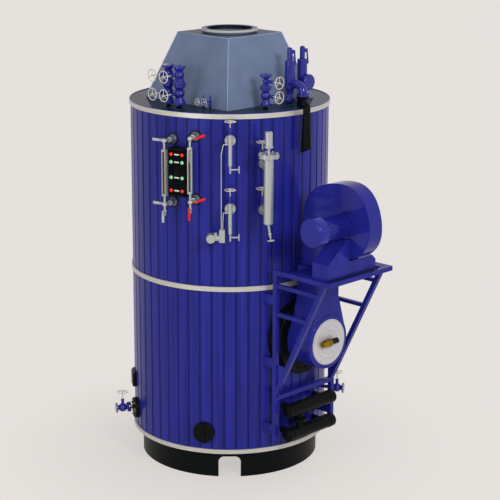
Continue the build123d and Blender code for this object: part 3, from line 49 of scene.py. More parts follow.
# Places on the vessel that the fittings are set from, in metres, with bearings in degrees. A
# bearing is measured about the vessel's axis from the front (-Y) towards the right (+X).
CASING_RADIUS = 1.0
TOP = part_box("top_plate")[1].z
BEAD_CIRCLE, BEAD_HEIGHT = CASING_RADIUS + 0.006, TOP + 0.001
ANCHOR_CIRCLE, ANCHOR_COUNT, ANCHOR_RING_TOP = 0.845, 12, 0.020

# Where one paint, painted shade or a painted highlight meets another: two heights, then
# distances from the vessel's axis
STEM_TOP = TOP + 0.031
LID_PAINT_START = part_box("smoke_box")[1].z - 0.0005
# Inside this radius the bottoms of the cladding's flutes get painted shade
FLUTE_SHADE_RADIUS = 0.9962
GAUGE_FLANGE_FRONT = 1.050
COUNTER_FLANGE = 1.0835
ROOT_VALVE_FRONT = 1.1195
# The flue collar's bore is painted black, and beyond the second radius its rim gets a painted
# highlight
FLUE_BORE_PAINT, FLUE_RIM_HIGHLIGHT = 0.231 + 0.001, 0.282 - 0.001

# Smoke box: its front corner's bearing, its half diagonals at the foot and at the lid, and how
# far its seams are sunk in and their ends drawn in, as shares of a seam's radius
HOOD_BEARING = -1.5
HOOD_FOOT, HOOD_LID = 0.840, 0.518
SEAM_SINK, SEAM_END_INSET = 0.4, 0.4

# Valves: places, flange faces and the circles their bolts stand on. The bolts of the root valves
# and of the column have a share of a flange bolt's width.
SAFETY_PLACES = ((0.588, -0.409), (0.715, -0.290))
SAFETY_FLANGE, SAFETY_BOLT_CIRCLE = TOP + 0.028, 0.044
BLOWDOWNS = ((-75.0, 0.515), (75.0, 0.735))
BLOWDOWN_AXIS = 1.153
BLOWDOWN_FLANGE, BLOWDOWN_BOLT_CIRCLE = BLOWDOWN_AXIS - 0.058, 0.040
ROOT_FLANGE_FACE, ROOT_BOLT_CIRCLE = 1.150, 0.039
POT_BEARING = 0.25
POT_HEIGHTS = (2.839, 3.500)
COLUMN_BEARING = 16.8
COLUMN_AXIS = 1.270
COLUMN_VALVES = (2.816, 3.268)
COLUMN_FLANGE_TOP, COLUMN_BOLT_CIRCLE = 3.387, 0.086
COLUMN_FLANGE_UNDERSIDE = COLUMN_FLANGE_TOP - 0.036
GREY_BOLT_SHARE = 0.72

# Level gauges: name, bearing, heights of the two bosses, the side and the rise of the levers.
# Their distances are from the vessel's axis, and a lever's sleeve is set by shares of its length.
GAUGES = (("left", -32.9, (2.840, 3.462), -1, 0.0), ("right", -19.1, (2.889, 3.505), 1, 21.0))
GAUGE_AXIS = 1.150
GAUGE_COCK = 1.126
GAUGE_DRAIN_COCK = GAUGE_AXIS + 0.030
GAUGE_COCK_OFFSET = 0.044
GAUGE_DRAIN_DROP = 0.066
GAUGE_FRAME_MARGIN = 0.083
GLASS_WIDTH, GLASS_MARGIN, GLASS_THICKNESS = 0.024, 0.040, 0.008
GLASS_FACE, SCREW_FACE = GAUGE_AXIS + 0.015, GAUGE_AXIS + 0.017
SCREWS_A_SIDE, SCREW_OFFSET, SCREW_MARGIN, SCREW_SHARE = 9, 0.0172, 0.014, 0.7
BOSS_RING_FACE = CASING_RADIUS - 0.001
BOSS_RING = ((0.047, 0.0), (0.060, 0.0), (0.060, 0.008), (0.056, 0.012), (0.047, 0.012))
LEVER_LENGTH, LEVER_THICKNESS = 0.096, 0.007
SLEEVE_SHARE, SLEEVE_END_SHARE, SLEEVE_WIDTH, SLEEVE_EDGE = 0.74, 1.13, 0.027, 0.0055
SLEEVE_TIP = (1, 0.72, 0.8)
SLEEVE_LOOKS = {"left": ("grey sleeve", "fitting_grey"), "right": ("red sleeve", "lever_red")}
# Scale of a wave texture whose bands stand 11.8 mm apart
GROOVE_SCALE = 1000 / 6 / 6.28

# Level panel: rows of lamps as shares of its height from the top, and each row's lens
PANEL_BEARING = -26.8
PANEL_FACE = 1.122
PANEL_LOW, PANEL_HEIGHT, PANEL_WIDTH = 2.926, 0.466, 0.204
PANEL_ROWS = ((0.120, "red lens"), (0.279, "green lens"), (0.603, "green lens"),
              (0.876, "red lens"))
BEZEL_SIDE, BEZEL_END, BEZEL_RIM, BEZEL_RECESS = 0.012, 0.006, 0.008, 0.003
BEZEL_THICKNESS, BEZEL_CENTRE = 0.006, 0.0022
LAMP_OFFSET, LAMP_HEIGHT, LAMP_CENTRE, LAMP_EDGE, LAMP_TAPER = 0.061, 0.006, 0.005, 0.0028, 0.9
LEGEND_SIZE, LEGEND_CENTRE = (0.052, 0.013, 0.004), 0.003

# Burner, fan and frame, all about the burner's bearing
BURNER_BEARING = 45.0
BURNER_HEIGHT = 1.452
MOUTH_FACE, MOUTH_BOLT_CIRCLE = 1.080, 0.330
PLATE_FACE = 1.385
PLATE_RING_SPACING = 0.052
BRASS_END = -0.037  # across the bearing, where the blackened sleeve starts
FAN_AXIS, FAN_HEIGHT = 1.636, 2.700
SCROLL_HALF = 0.090
MOTOR_FLANGE, MOTOR_BOLT_CIRCLE = SCROLL_HALF + 0.022, 0.119
EYE_FACE, EYE_BOLT_CIRCLE = SCROLL_HALF + 0.001, 0.215
GUARD_FACE, GUARD_SPAN = SCROLL_HALF + 0.026, 0.316
GUARD_RINGS = (0.03, 0.06, 0.09, 0.12, 0.15)
FRAME_HALF, FRAME_POST = 0.414, 1.054
FRAME_PADS = (0.560, 1.250, 1.900)
PAD_FACE, PAD_DEPTH, PAD_BOLT_RISE = FRAME_HALF + 0.023, FRAME_POST - 0.065, 0.03
FRAME_TOP = 2.207
PEDESTAL_FRONT = 1.700
PEDESTAL_SIDES = (-0.390, 0.303)
# Black strip along the pedestal's front foot: a painted shadow, a dark sheet where only shade falls
SHADOW_STRIP_DEPTH, SHADOW_STRIP_THICKNESS, SHADOW_STRIP_CENTRE = 0.034, 0.006, 0.0034

# Oil heaters: (radius, height) outlines of a strap, with its heights as shares of its width,
# and of an end cover
HEATER_AXIS, HEATER_HALF = 1.142, 0.338
HEATER_HEIGHTS = (0.490, 0.745)
HEATER_BOLT_CIRCLE = 0.042
STRAP_OFFSETS = (-0.27, 0.27)
STRAP_OUTLINE = ((0.0672, -0.5), (0.0700, -0.5), (0.0715, -0.25), (0.0715, 0.25), (0.0700, 0.5),
                 (0.0672, 0.5))
HEATER_CAP = ((0.012, -0.002), (0.052, -0.002), (0.052, 0.002), (0.049, 0.004), (0.018, 0.004),
              (0.015, 0.010), (0.012, 0.010))

# Inspection cover with the blow-down pipe in it
PIPED_COVER = (-75.0, 0.502)
COVER_FACE, COVER_BOLT_CIRCLE = 1.034, 0.088

SIDES = ((-1, "left"), (1, "right"))
EDGE, FINE_EDGE = 0.002, 0.0015

# Hexagon bolt, as shares of its width across the flats
HEAD_DEPTH, HEAD_CENTRE, HEAD_TOP, HEAD_CHAMFER = 0.6, 0.42, 0.72, 0.09
STUD_INSET, STUD_RISE = 0.16, 0.25
WASHER_RADIUS, WASHER_DEPTH, WASHER_CENTRE = 0.72, 0.16, 0.06

# Lamps: name, place, target, size, power in watts, and whether gloss mirrors the lamp
LAMPS = (
    ("key_lamp", (5.5, -11.0, 8.5), (0, 0, 2.2), (5.0, 5.0), 330, True),
    ("fill_lamp", (-8.0, -10.0, 5.0), (0, 0, 2.2), (5.0, 6.0), 330, True),
    ("rim_lamp", (5.2, 3.0, 8.6), (1.0, -1.0, 2.8), (3.4, 2.6), 150, False),
    ("glint_lamp", (6.0, -12.0, 8.6), (0, 0, 2.4), (2.2, 2.2), 400, True),
)
AMBIENT_STRENGTH = 0.55
FLOOR_SIZE, FLOOR_CUTS = 400, 3
# Distances over which the floor turns plain, and its plain share at each
SHADOW_REACH, PLAIN_SHARE = (0.9, 2.6), (0.72, 1.0)

# Camera: place, angle down, lens and sensor width in millimetres, sideways shift and range
CAMERA_PLACE = (0, -15.896, 6.3428)
CAMERA_PITCH = 14.843
CAMERA_LENS, CAMERA_SENSOR, CAMERA_SHIFT, CAMERA_RANGE = 114.51, 36.0, 0.0407, 500

# Sockets of a colour mix node
MIX_FACTOR, MIX_A, MIX_B, MIX_RESULT = 0, 6, 7, 2


def linear(code):
    """Linear colour of an sRGB hex code."""
    values = [int(code[i:i + 2], 16) / 255 for i in (0, 2, 4)]
    return tuple(v / 12.92 if v <= 0.04045 else ((v + 0.055) / 1.055) ** 2.4 for v in values)


def colour(name, description, code):
    return bpy.props.FloatVectorProperty(name=name, description=description, subtype="COLOR",
                                         size=3, min=0.0, max=1.0, default=linear(code))


def length(name, description, metres):
    return bpy.props.FloatProperty(name=name, description=description, unit="LENGTH",
                                   default=metres, min=0.0005, precision=4)


class BoilerFinishes(bpy.types.PropertyGroup):
    """Colours of the finishes"""
    enamel: colour("Enamel", "Blue gloss enamel of the cladding, frame, fan and top fittings",
                   "242891")
    hood: colour("Smoke box", "Slate paint of the smoke box", "6E7F9E")
    plate: colour("Top plate", "Dark slate paint of the top plate", "24334D")
    band: colour("Bands", "Pale stainless strip round the vessel", "CCCAC2")
    black: colour("Black paint", "Skirt, covers, heaters and discharge pipe", "0B0F10")
    wheel: colour("Handwheels", "Pale coating of the handwheels", "D8D3C8")
    fitting: colour("Fittings", "Zinc-grey valves, gauges and columns", "BABFBE")
    steel: colour("Steel flanges", "Dark steel flanges of the level gauges", "566178")
    burner: colour("Burner plate", "Pale enamelled burner plate", "CDCCD2")
    brass: colour("Brass", "Burner sight fitting", "9C7D24")
    sleeve: colour("Lever sleeves", "Red sleeves of the right gauge's cocks", "D81E1A")
    floor: colour("Floor", "Pale studio floor", "E6E1DD")


class BoilerSizes(bpy.types.PropertyGroup):
    """Sizes of the small pieces"""
    flange_bolt: length("Flange bolt", "Width across flats of the pipe flange bolts", 0.018)
    small_bolt: length("Cover bolt", "Width across flats of the cover and plate bolts", 0.014)
    seam: length("Corner seam", "Radius of the welded corner seams of the smoke box", 0.0055)
    bead: length("Edge bead", "Radius of the bead round the top plate", 0.0055)
    lamp: length("Panel lamp", "Width of a lamp on the level panel", 0.036)
    guard_wire: length("Guard wire", "Radius of the fan inlet guard's wire", 0.0035)
    strap: length("Heater strap", "Width of the straps round the oil heaters", 0.022)
    sleeve: length("Lever sleeve", "Thickness of the sleeves on the cock levers", 0.013)


# Modelling

def deselect():
    if bpy.context.mode != "OBJECT":
        bpy.ops.object.mode_set(mode="OBJECT")
    bpy.ops.object.select_all(action="DESELECT")


def only(piece):
    deselect()
    piece.select_set(True)
    bpy.context.view_layer.objects.active = piece


def pick(piece, test, kind="faces"):
    """Selects in edit mode the faces or edges that pass a test, and leaves edit mode open."""
    only(piece)
    bpy.ops.object.mode_set(mode="EDIT")
    bpy.ops.mesh.select_mode(type="FACE" if kind == "faces" else "EDGE")
    bpy.ops.mesh.select_all(action="DESELECT")
    bpy.ops.object.mode_set(mode="OBJECT")
    if kind == "faces":
        for face in piece.data.polygons:
            face.select = test(face.center, face.normal)
    else:
        for edge in piece.data.edges:
            edge.select = test(*[piece.data.vertices[i].co for i in edge.vertices])
    bpy.ops.object.mode_set(mode="EDIT")


def leave():
    bpy.ops.object.mode_set(mode="OBJECT")


def smooth(piece, degrees=35):
    only(piece)
    bpy.ops.object.shade_smooth_by_angle(angle=radians(degrees))


def settle(piece, matrix=Matrix.Identity(4)):
    """Puts a piece's place in its mesh, with its object at the origin."""
    piece.data.transform(matrix @ piece.matrix_basis)
    piece.matrix_basis = Matrix.Identity(4)
    piece.data.update()


def finish_piece(piece, name, material, body="boiler"):
    """Names a piece, gives it its finish and fastens it to its body."""
    piece.name = piece.data.name = name
    piece.data.materials.clear()
    piece.data.materials.append(material)
    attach(piece, body)


def joined(pieces):
    deselect()
    for piece in pieces:
        piece.select_set(True)
    bpy.context.view_layer.objects.active = pieces[0]
    if len(pieces) > 1:
        bpy.ops.object.join()
    return bpy.context.view_layer.objects.active


def copies(master, places):
    """One mesh from a master set at each place; the master is used up."""
    made = []
    for place in places:
        copy = bpy.data.objects.new(master.name, master.data.copy())
        bpy.context.scene.collection.objects.link(copy)
        copy.data.transform(place)
        made.append(copy)
    bpy.data.objects.remove(master)
    return joined(made)


AIM = {
    "out": Matrix.Rotation(radians(90), 4, "X"),
    "up": Matrix.Identity(4),
    "down": Matrix.Rotation(radians(180), 4, "X"),
    "right": Matrix.Rotation(radians(90), 4, "Y"),
    "left": Matrix.Rotation(radians(-90), 4, "Y"),
}


def at(bearing, across, radial, height, aim="out"):
    """Place on the side that a bearing faces, with +Z of the piece turned to the aim."""
    turn = Matrix.Rotation(radians(bearing), 4, "Z")
    return turn @ Matrix.Translation((across, -radial, height)) @ AIM[aim]


def ring_of(place, radius, count, start=0.0):
    """Places evenly round a circle about a place's own Z."""
    turns = [Matrix.Rotation(radians(start + 360 * k / count), 4, "Z") for k in range(count)]
    return [place @ turn @ Matrix.Translation((radius, 0, 0)) for turn in turns]


def on_circle(radius, bearing):
    return Vector((radius * sin(radians(bearing)), -radius * cos(radians(bearing))))


def upright(xy, height, aim="up"):
    return Matrix.Translation((xy[0], xy[1], height)) @ AIM[aim]


def cylinder(vertices, radius, depth, location=(0, 0, 0)):
    deselect()
    bpy.ops.mesh.primitive_cylinder_add(vertices=vertices, radius=radius, depth=depth,
                                        location=location)
    piece = bpy.context.object
    settle(piece)
    return piece


def hex_bolt(across):
    """Chamfered hexagon head on its washer, with the stud end above it."""
    head = cylinder(6, across / 2 / cos(pi / 6), across * HEAD_DEPTH, (0, 0, across * HEAD_CENTRE))
    near_top = across * HEAD_TOP * 0.9
    pick(head, lambda a, b: a.z > near_top and b.z > near_top, "edges")
    bpy.ops.mesh.bevel(offset=across * HEAD_CHAMFER, segments=1)
    leave()
    pick(head, lambda centre, normal: normal.z > 0.95)
    bpy.ops.mesh.inset(thickness=across * STUD_INSET)
    bpy.ops.mesh.extrude_region_move(
        TRANSFORM_OT_translate={"value": (0, 0, across * STUD_RISE)})
    leave()
    washer = cylinder(12, across * WASHER_RADIUS, across * WASHER_DEPTH,
                      (0, 0, across * WASHER_CENTRE))
    return joined([head, washer])


def bolts(name, across, places, material):
    finish_piece(copies(hex_bolt(across), places), name, material)


def spun(name, outline, steps=40):
    """Closed round piece from (radius, height) points, spun about Z in edit mode."""
    deselect()
    bpy.ops.mesh.primitive_circle_add(vertices=len(outline), radius=1.0, fill_type="NOTHING")
    piece = bpy.context.object
    piece.name = name
    for vertex, (radius, height) in zip(piece.data.vertices, outline):
        vertex.co = (radius, 0, height)
    only(piece)
    bpy.ops.object.mode_set(mode="EDIT")
    bpy.ops.mesh.select_all(action="SELECT")
    bpy.ops.mesh.spin(steps=steps, angle=2 * pi, center=(0, 0, 0), axis=(0, 0, 1))
    bpy.ops.mesh.select_all(action="SELECT")
    bpy.ops.mesh.remove_doubles(threshold=1e-5)
    bpy.ops.mesh.normals_make_consistent(inside=False)
    leave()
    return piece


def round_section(centre, radius, count):
    """Outline of a round wire or bead, from its centre's distance to the axis and its radius."""
    angles = [2 * pi * k / count for k in range(count)]
    return [(centre + radius * cos(a), radius * sin(a)) for a in angles]


def rounded_box(size, location, bevel, segments=3):
    deselect()
    bpy.ops.mesh.primitive_cube_add(size=1.0, location=location, scale=size)
    piece = bpy.context.object
    settle(piece)
    pick(piece, lambda a, b: True, "edges")
    bpy.ops.mesh.bevel(offset=bevel, segments=segments)
    leave()
    smooth(piece)
    return piece


# Finishes

def node(tree, kind, inputs=(), **settings):
    """Adds one node with its settings. Inputs are (socket, value) pairs, and a value that is the
    output of another node is linked."""
    new = tree.nodes.new(kind)
    for key, value in settings.items():
        if key in new.inputs:
            new.inputs[key].default_value = value
        else:
            setattr(new, key, value)
    for socket, value in inputs:
        if isinstance(value, bpy.types.NodeSocket):
            tree.links.new(value, new.inputs[socket])
        else:
            new.inputs[socket].default_value = value
    return new


def maths(tree, operation, *values):
    return node(tree, "ShaderNodeMath", enumerate(values), operation=operation).outputs["Value"]


def vector_maths(tree, operation, output, *values):
    new = node(tree, "ShaderNodeVectorMath", enumerate(values), operation=operation)
    return new.outputs[output]


def noise(tree, where, size, **settings):
    """Noise whose grain is a size in millimetres."""
    new = node(tree, "ShaderNodeTexNoise", [("Vector", where)], Scale=1000 / size, **settings)
    return new.outputs["Fac"]


def stretched(tree, where, share):
    """Coordinates that run up the object at a share of the pace they have across it."""
    new = node(tree, "ShaderNodeMapping", [("Vector", where)], Scale=(1.0, 1.0, share))
    return new.outputs["Vector"]


def mixed(tree, factor, first, second):
    """Goes from the first colour to the second as the factor goes from 0 to 1."""
    values = ((MIX_FACTOR, factor), (MIX_A, first), (MIX_B, second))
    return node(tree, "ShaderNodeMix", values, data_type="RGBA").outputs[MIX_RESULT]


def blank(name, **shader):
    """New material with its Principled shader set, its tree and the Object coordinates."""
    material = bpy.data.materials.new(name)
    material.use_nodes = True
    tree = material.node_tree
    surface = tree.nodes["Principled BSDF"]
    for socket, value in shader.items():
        surface.inputs[socket.replace("_", " ")].default_value = value
    where = node(tree, "ShaderNodeTexCoord").outputs["Object"]
    return material, tree, surface, where


def rgba(value):
    return (*value, 1.0)


def tint(value, amount):
    return rgba([min(1.0, v * amount) for v in value])


def coloured(tree, surface, factor, *stops):
    """Gives the surface a colour ramp of (position, colour) stops, and returns its output."""
    new = node(tree, "ShaderNodeValToRGB", [("Fac", factor)])
    elements = new.color_ramp.elements
    while len(elements) < len(stops):
        elements.new(0.5)
    for element, (position, value) in zip(elements, stops):
        element.position, element.color = position, value
    tree.links.new(new.outputs["Color"], surface.inputs[0])
    return new.outputs["Color"]


def bump(tree, surface, height, strength, distance):
    new = node(tree, "ShaderNodeBump", [("Height", height)], Strength=strength, Distance=distance)
    tree.links.new(new.outputs["Normal"], surface.inputs["Normal"])


def beyond(tree, where, measure, limit):
    """1 where a height, or a distance from the vessel's axis, is over a limit, and 0 elsewhere."""
    if measure == "height":
        value = node(tree, "ShaderNodeSeparateXYZ", [("Vector", where)]).outputs["Z"]
    else:
        level = vector_maths(tree, "MULTIPLY", "Vector", where, (1.0, 1.0, 0.0))
        value = vector_maths(tree, "LENGTH", "Value", level)
    return maths(tree, "GREATER_THAN", value, limit)


def painted_over(material, measure, limit, value, below=True):
    """A second paint, or painted shade or a painted highlight, over the part of a finish below,
    or beyond, a height or a radius.
    """
    tree = material.node_tree
    surface = tree.nodes["Principled BSDF"]
    where = next(n for n in tree.nodes if n.type == "TEX_COORD").outputs["Object"]
    over = beyond(tree, where, measure, limit)
    kept = surface.inputs["Base Color"].links[0].from_socket
    paints = (rgba(value), kept) if below else (kept, rgba(value))
    tree.links.new(mixed(tree, over, *paints), surface.inputs["Base Color"])
    metallic = surface.inputs["Metallic"]
    if metallic.default_value:
        tree.links.new(maths(tree, "MULTIPLY", over, metallic.default_value), metallic)
    return material


def enamel_paint(name, value, roughness, streaks, spread=160, sheen=0.22, coat=0.15, depth=0.26):
    """Sprayed gloss enamel: deep and wet-looking, a faint orange peel of about 6 mm, and slow
    changes of depth, spread (in mm) apart:
    random tone, and where streaks stretch them upright, as on the cladding, painted reflections of
    the surroundings."""
    material, tree, surface, where = blank(
        name, Metallic=0.0, Roughness=roughness, IOR=1.5, Specular_IOR_Level=sheen,
        Coat_Weight=coat, Coat_Roughness=0.08)
    peel = noise(tree, where, 6, Detail=2.0)
    tone_and_reflection_streaks = noise(tree, stretched(tree, where, streaks), spread, Detail=4.0, Roughness=0.55)
    coloured(tree, surface, tone_and_reflection_streaks, (0.30, tint(value, 1 - depth)), (0.55, rgba(value)),
             (0.75, tint(value, 1 + depth * 0.7)))
    worn = node(tree, "ShaderNodeMapRange", [
        ("Value", tone_and_reflection_streaks), ("To Min", roughness * 0.75), ("To Max", roughness * 1.35)])
    tree.links.new(worn.outputs["Result"], surface.inputs["Roughness"])
    bump(tree, surface, peel, strength=0.06 if roughness > 0.15 else 0.02, distance=0.0008)
    return material


def satin_paint(name, value, roughness, grain, shade=0.8, sheen=0.25):
    """Rolled satin paint on plate: soft sheen, a stipple whose grain is in mm, and a cloudy
    mottling from shade to 2 - shade times the colour."""
    material, tree, surface, where = blank(name, Metallic=0.0, Roughness=roughness, IOR=1.5,
                                           Specular_IOR_Level=sheen)
    mottle = noise(tree, where, 220, Detail=6.0, Roughness=0.6)
    coloured(tree, surface, mottle, (0.28, tint(value, shade)), (0.72, tint(value, 2 - shade)))
    bump(tree, surface, noise(tree, where, grain, Detail=3.0), strength=0.12, distance=0.001)
    return material


def brushed_strip(name, value):
    """Pale stainless strip, drawn lengthways: hairlines run round the vessel, a dull soft gleam."""
    material, tree, surface, where = blank(name, Metallic=0.55, Roughness=0.42)
    lines = noise(tree, stretched(tree, where, 40.0), 140, Detail=5.0)
    coloured(tree, surface, lines, (0.3, tint(value, 0.86)), (0.7, tint(value, 1.1)))
    bump(tree, surface, lines, strength=0.1, distance=0.0006)
    return material


def cast_metal(name, value, metallic, roughness, grain):
    """Sand-cast and coated metal: fine pitting, its grain in mm, darker in the skin's hollows."""
    material, tree, surface, where = blank(name, Metallic=metallic, Roughness=roughness)
    skin = noise(tree, where, grain, Detail=4.0, Roughness=0.6)
    coloured(tree, surface, skin, (0.25, tint(value, 0.78)), (0.75, tint(value, 1.08)))
    bump(tree, surface, skin, strength=0.15, distance=0.0012)
    return material


def enamelled_plate(name, value):
    """Vitreous enamelled steel plate: pale and smooth, with turned rings 52 mm apart about the
    burner's axis, coarser and darker than real ones so that they show."""
    material, tree, surface, where = blank(name, Metallic=0.0, Roughness=0.28, IOR=1.5,
                                           Coat_Weight=0.3)
    centre = on_circle(PLATE_FACE, BURNER_BEARING)
    local = vector_maths(tree, "SUBTRACT", "Vector", where, (centre.x, centre.y, BURNER_HEIGHT))
    away = vector_maths(tree, "LENGTH", "Value", local)
    wave = maths(tree, "SINE", maths(tree, "MULTIPLY", away, 2 * pi / PLATE_RING_SPACING))
    coloured(tree, surface, wave, (0.0, tint(value, 1.03)), (0.93, rgba(value)),
             (1.0, tint(value, 0.7)))
    bump(tree, surface, wave, strength=0.05, distance=0.001)
    return material


def turned_brass(name, value, dark):
    """Turned brass sight fitting, warm and bright, on a blackened steel sleeve: the change comes
    where the sleeve enters the brass collar."""
    material, tree, surface, where = blank(name, Metallic=1.0, Roughness=0.24)
    local = node(tree, "ShaderNodeMapping", [("Vector", where)],
                 Rotation=(0, 0, radians(-BURNER_BEARING)))
    parts = node(tree, "ShaderNodeSeparateXYZ", [("Vector", local.outputs["Vector"])])
    sleeve = maths(tree, "GREATER_THAN", parts.outputs["X"], BRASS_END)
    marks = noise(tree, where, 9, Detail=3.0)
    bright = coloured(tree, surface, marks, (0.3, tint(value, 0.7)), (0.7, tint(value, 1.15)))
    tree.links.new(mixed(tree, sleeve, bright, rgba(dark)), surface.inputs["Base Color"])
    bump(tree, surface, marks, strength=0.05, distance=0.0005)
    return material


def sight_glass(name):
    """Reflex gauge glass: a near-black strip with a wet gleam and upright grooves 12 mm apart."""
    material, tree, surface, where = blank(name, Metallic=0.0, Roughness=0.08, IOR=1.52,
                                           Coat_Weight=0.5)
    wave = node(tree, "ShaderNodeTexWave", [("Vector", where)], Scale=GROOVE_SCALE, Distortion=0.0)
    coloured(tree, surface, wave.outputs["Fac"], (0.2, rgba(linear("08090A"))),
             (0.9, rgba(linear("1C2022"))))
    return material


def lamp_lens(name, code):
    """Moulded lamp lens, faintly lit from behind: a frosted plastic, cloudy in grains of 5 mm."""
    material, tree, surface, where = blank(name, Metallic=0.0, Roughness=0.35, IOR=1.49)
    value = linear(code)
    frost = noise(tree, where, 5, Detail=2.0)
    body = coloured(tree, surface, frost, (0.3, tint(value, 0.8)), (0.7, rgba(value)))
    tree.links.new(body, surface.inputs["Emission Color"])
    surface.inputs["Emission Strength"].default_value = 0.25
    return material


def background_rays(tree):
    """1 for a ray that shows the plain background: the camera's own, mirrored or through glass."""
    rays = node(tree, "ShaderNodeLightPath").outputs
    seen = maths(tree, "MAXIMUM", rays["Is Camera Ray"], rays["Is Glossy Ray"])
    return maths(tree, "MAXIMUM", seen, rays["Is Transmission Ray"])


def studio_floor(name, value):
    """Matt studio floor that fades to its own plain colour away from the boiler, so the picture
    has no horizon, and keeps the boiler's shadow near its foot."""
    material = bpy.data.materials.new(name)
    material.use_nodes = True
    tree = material.node_tree
    tree.nodes.clear()
    where = node(tree, "ShaderNodeTexCoord").outputs["Object"]
    near, far = SHADOW_REACH
    low, high = PLAIN_SHARE
    fade = node(tree, "ShaderNodeMapRange", [
        ("Value", vector_maths(tree, "LENGTH", "Value", where)), ("From Min", near),
        ("From Max", far), ("To Min", low), ("To Max", high)])
    matt = node(tree, "ShaderNodeBsdfDiffuse")
    coloured(tree, matt, noise(tree, where, 30, Detail=3.0), (0.3, tint(value, 0.985)),
             (0.7, rgba(value)))
    plain = node(tree, "ShaderNodeEmission", Color=rgba(value), Strength=1.0)
    share = maths(tree, "MULTIPLY", background_rays(tree), fade.outputs["Result"])
    mix = node(tree, "ShaderNodeMixShader", enumerate((
        share, matt.outputs["BSDF"], plain.outputs["Emission"])))
    node(tree, "ShaderNodeOutputMaterial", [("Surface", mix.outputs["Shader"])])
    return material


FINISHES = {}


def finish(name):
    return FINISHES[name]


NODE_FINISHES = {
    "cladding enamel": ("casing_lower", "casing_upper"),
    "fitting enamel on black stems": (
        "feed_rear_stack", "feed_front_stack", "steam_stack", "vent_valves", "safety_valve_left",
        "safety_valve_right"),
    "fitting enamel": ("blowdown_valve_right",),
    "fitting enamel on a black stub": ("blowdown_valve_left",),
    "plant enamel": ("windbox", "air_duct", "fan_pedestal", "frame_left", "frame_right",
                     "frame_deck"),
    "fan enamel": ("fan_scroll",),
    "motor enamel": ("fan_motor",),
    "stainless strip": ("casing_bands",),
    "slate plate paint": ("smoke_box",),
    "flue collar paint": ("flue_outlet",),
    "dark deck paint": ("top_plate",),
    "black stove paint": ("foundation_skirt", "pressure_shell", "discharge_pipe", "level_panel",
                          "handhole_covers", "furnace_mouth", "oil_heaters"),
    "zinc casting on steel flanges": ("gauge_left", "gauge_right"),
    "zinc-coated casting": (
        "sensing_tubes", "level_transmitter", "electrode_column",
        "gauge_left_lower_lever", "gauge_left_upper_lever", "gauge_left_drain_lever"),
    "zinc casting on enamelled valves": ("level_pots", "electrode_valves"),
    "red lever paint": ("gauge_right_lower_lever", "gauge_right_upper_lever",
                        "gauge_right_drain_lever"),
    "enamelled burner plate": ("burner_plate",),
    "turned brass": ("burner_gun",),
}


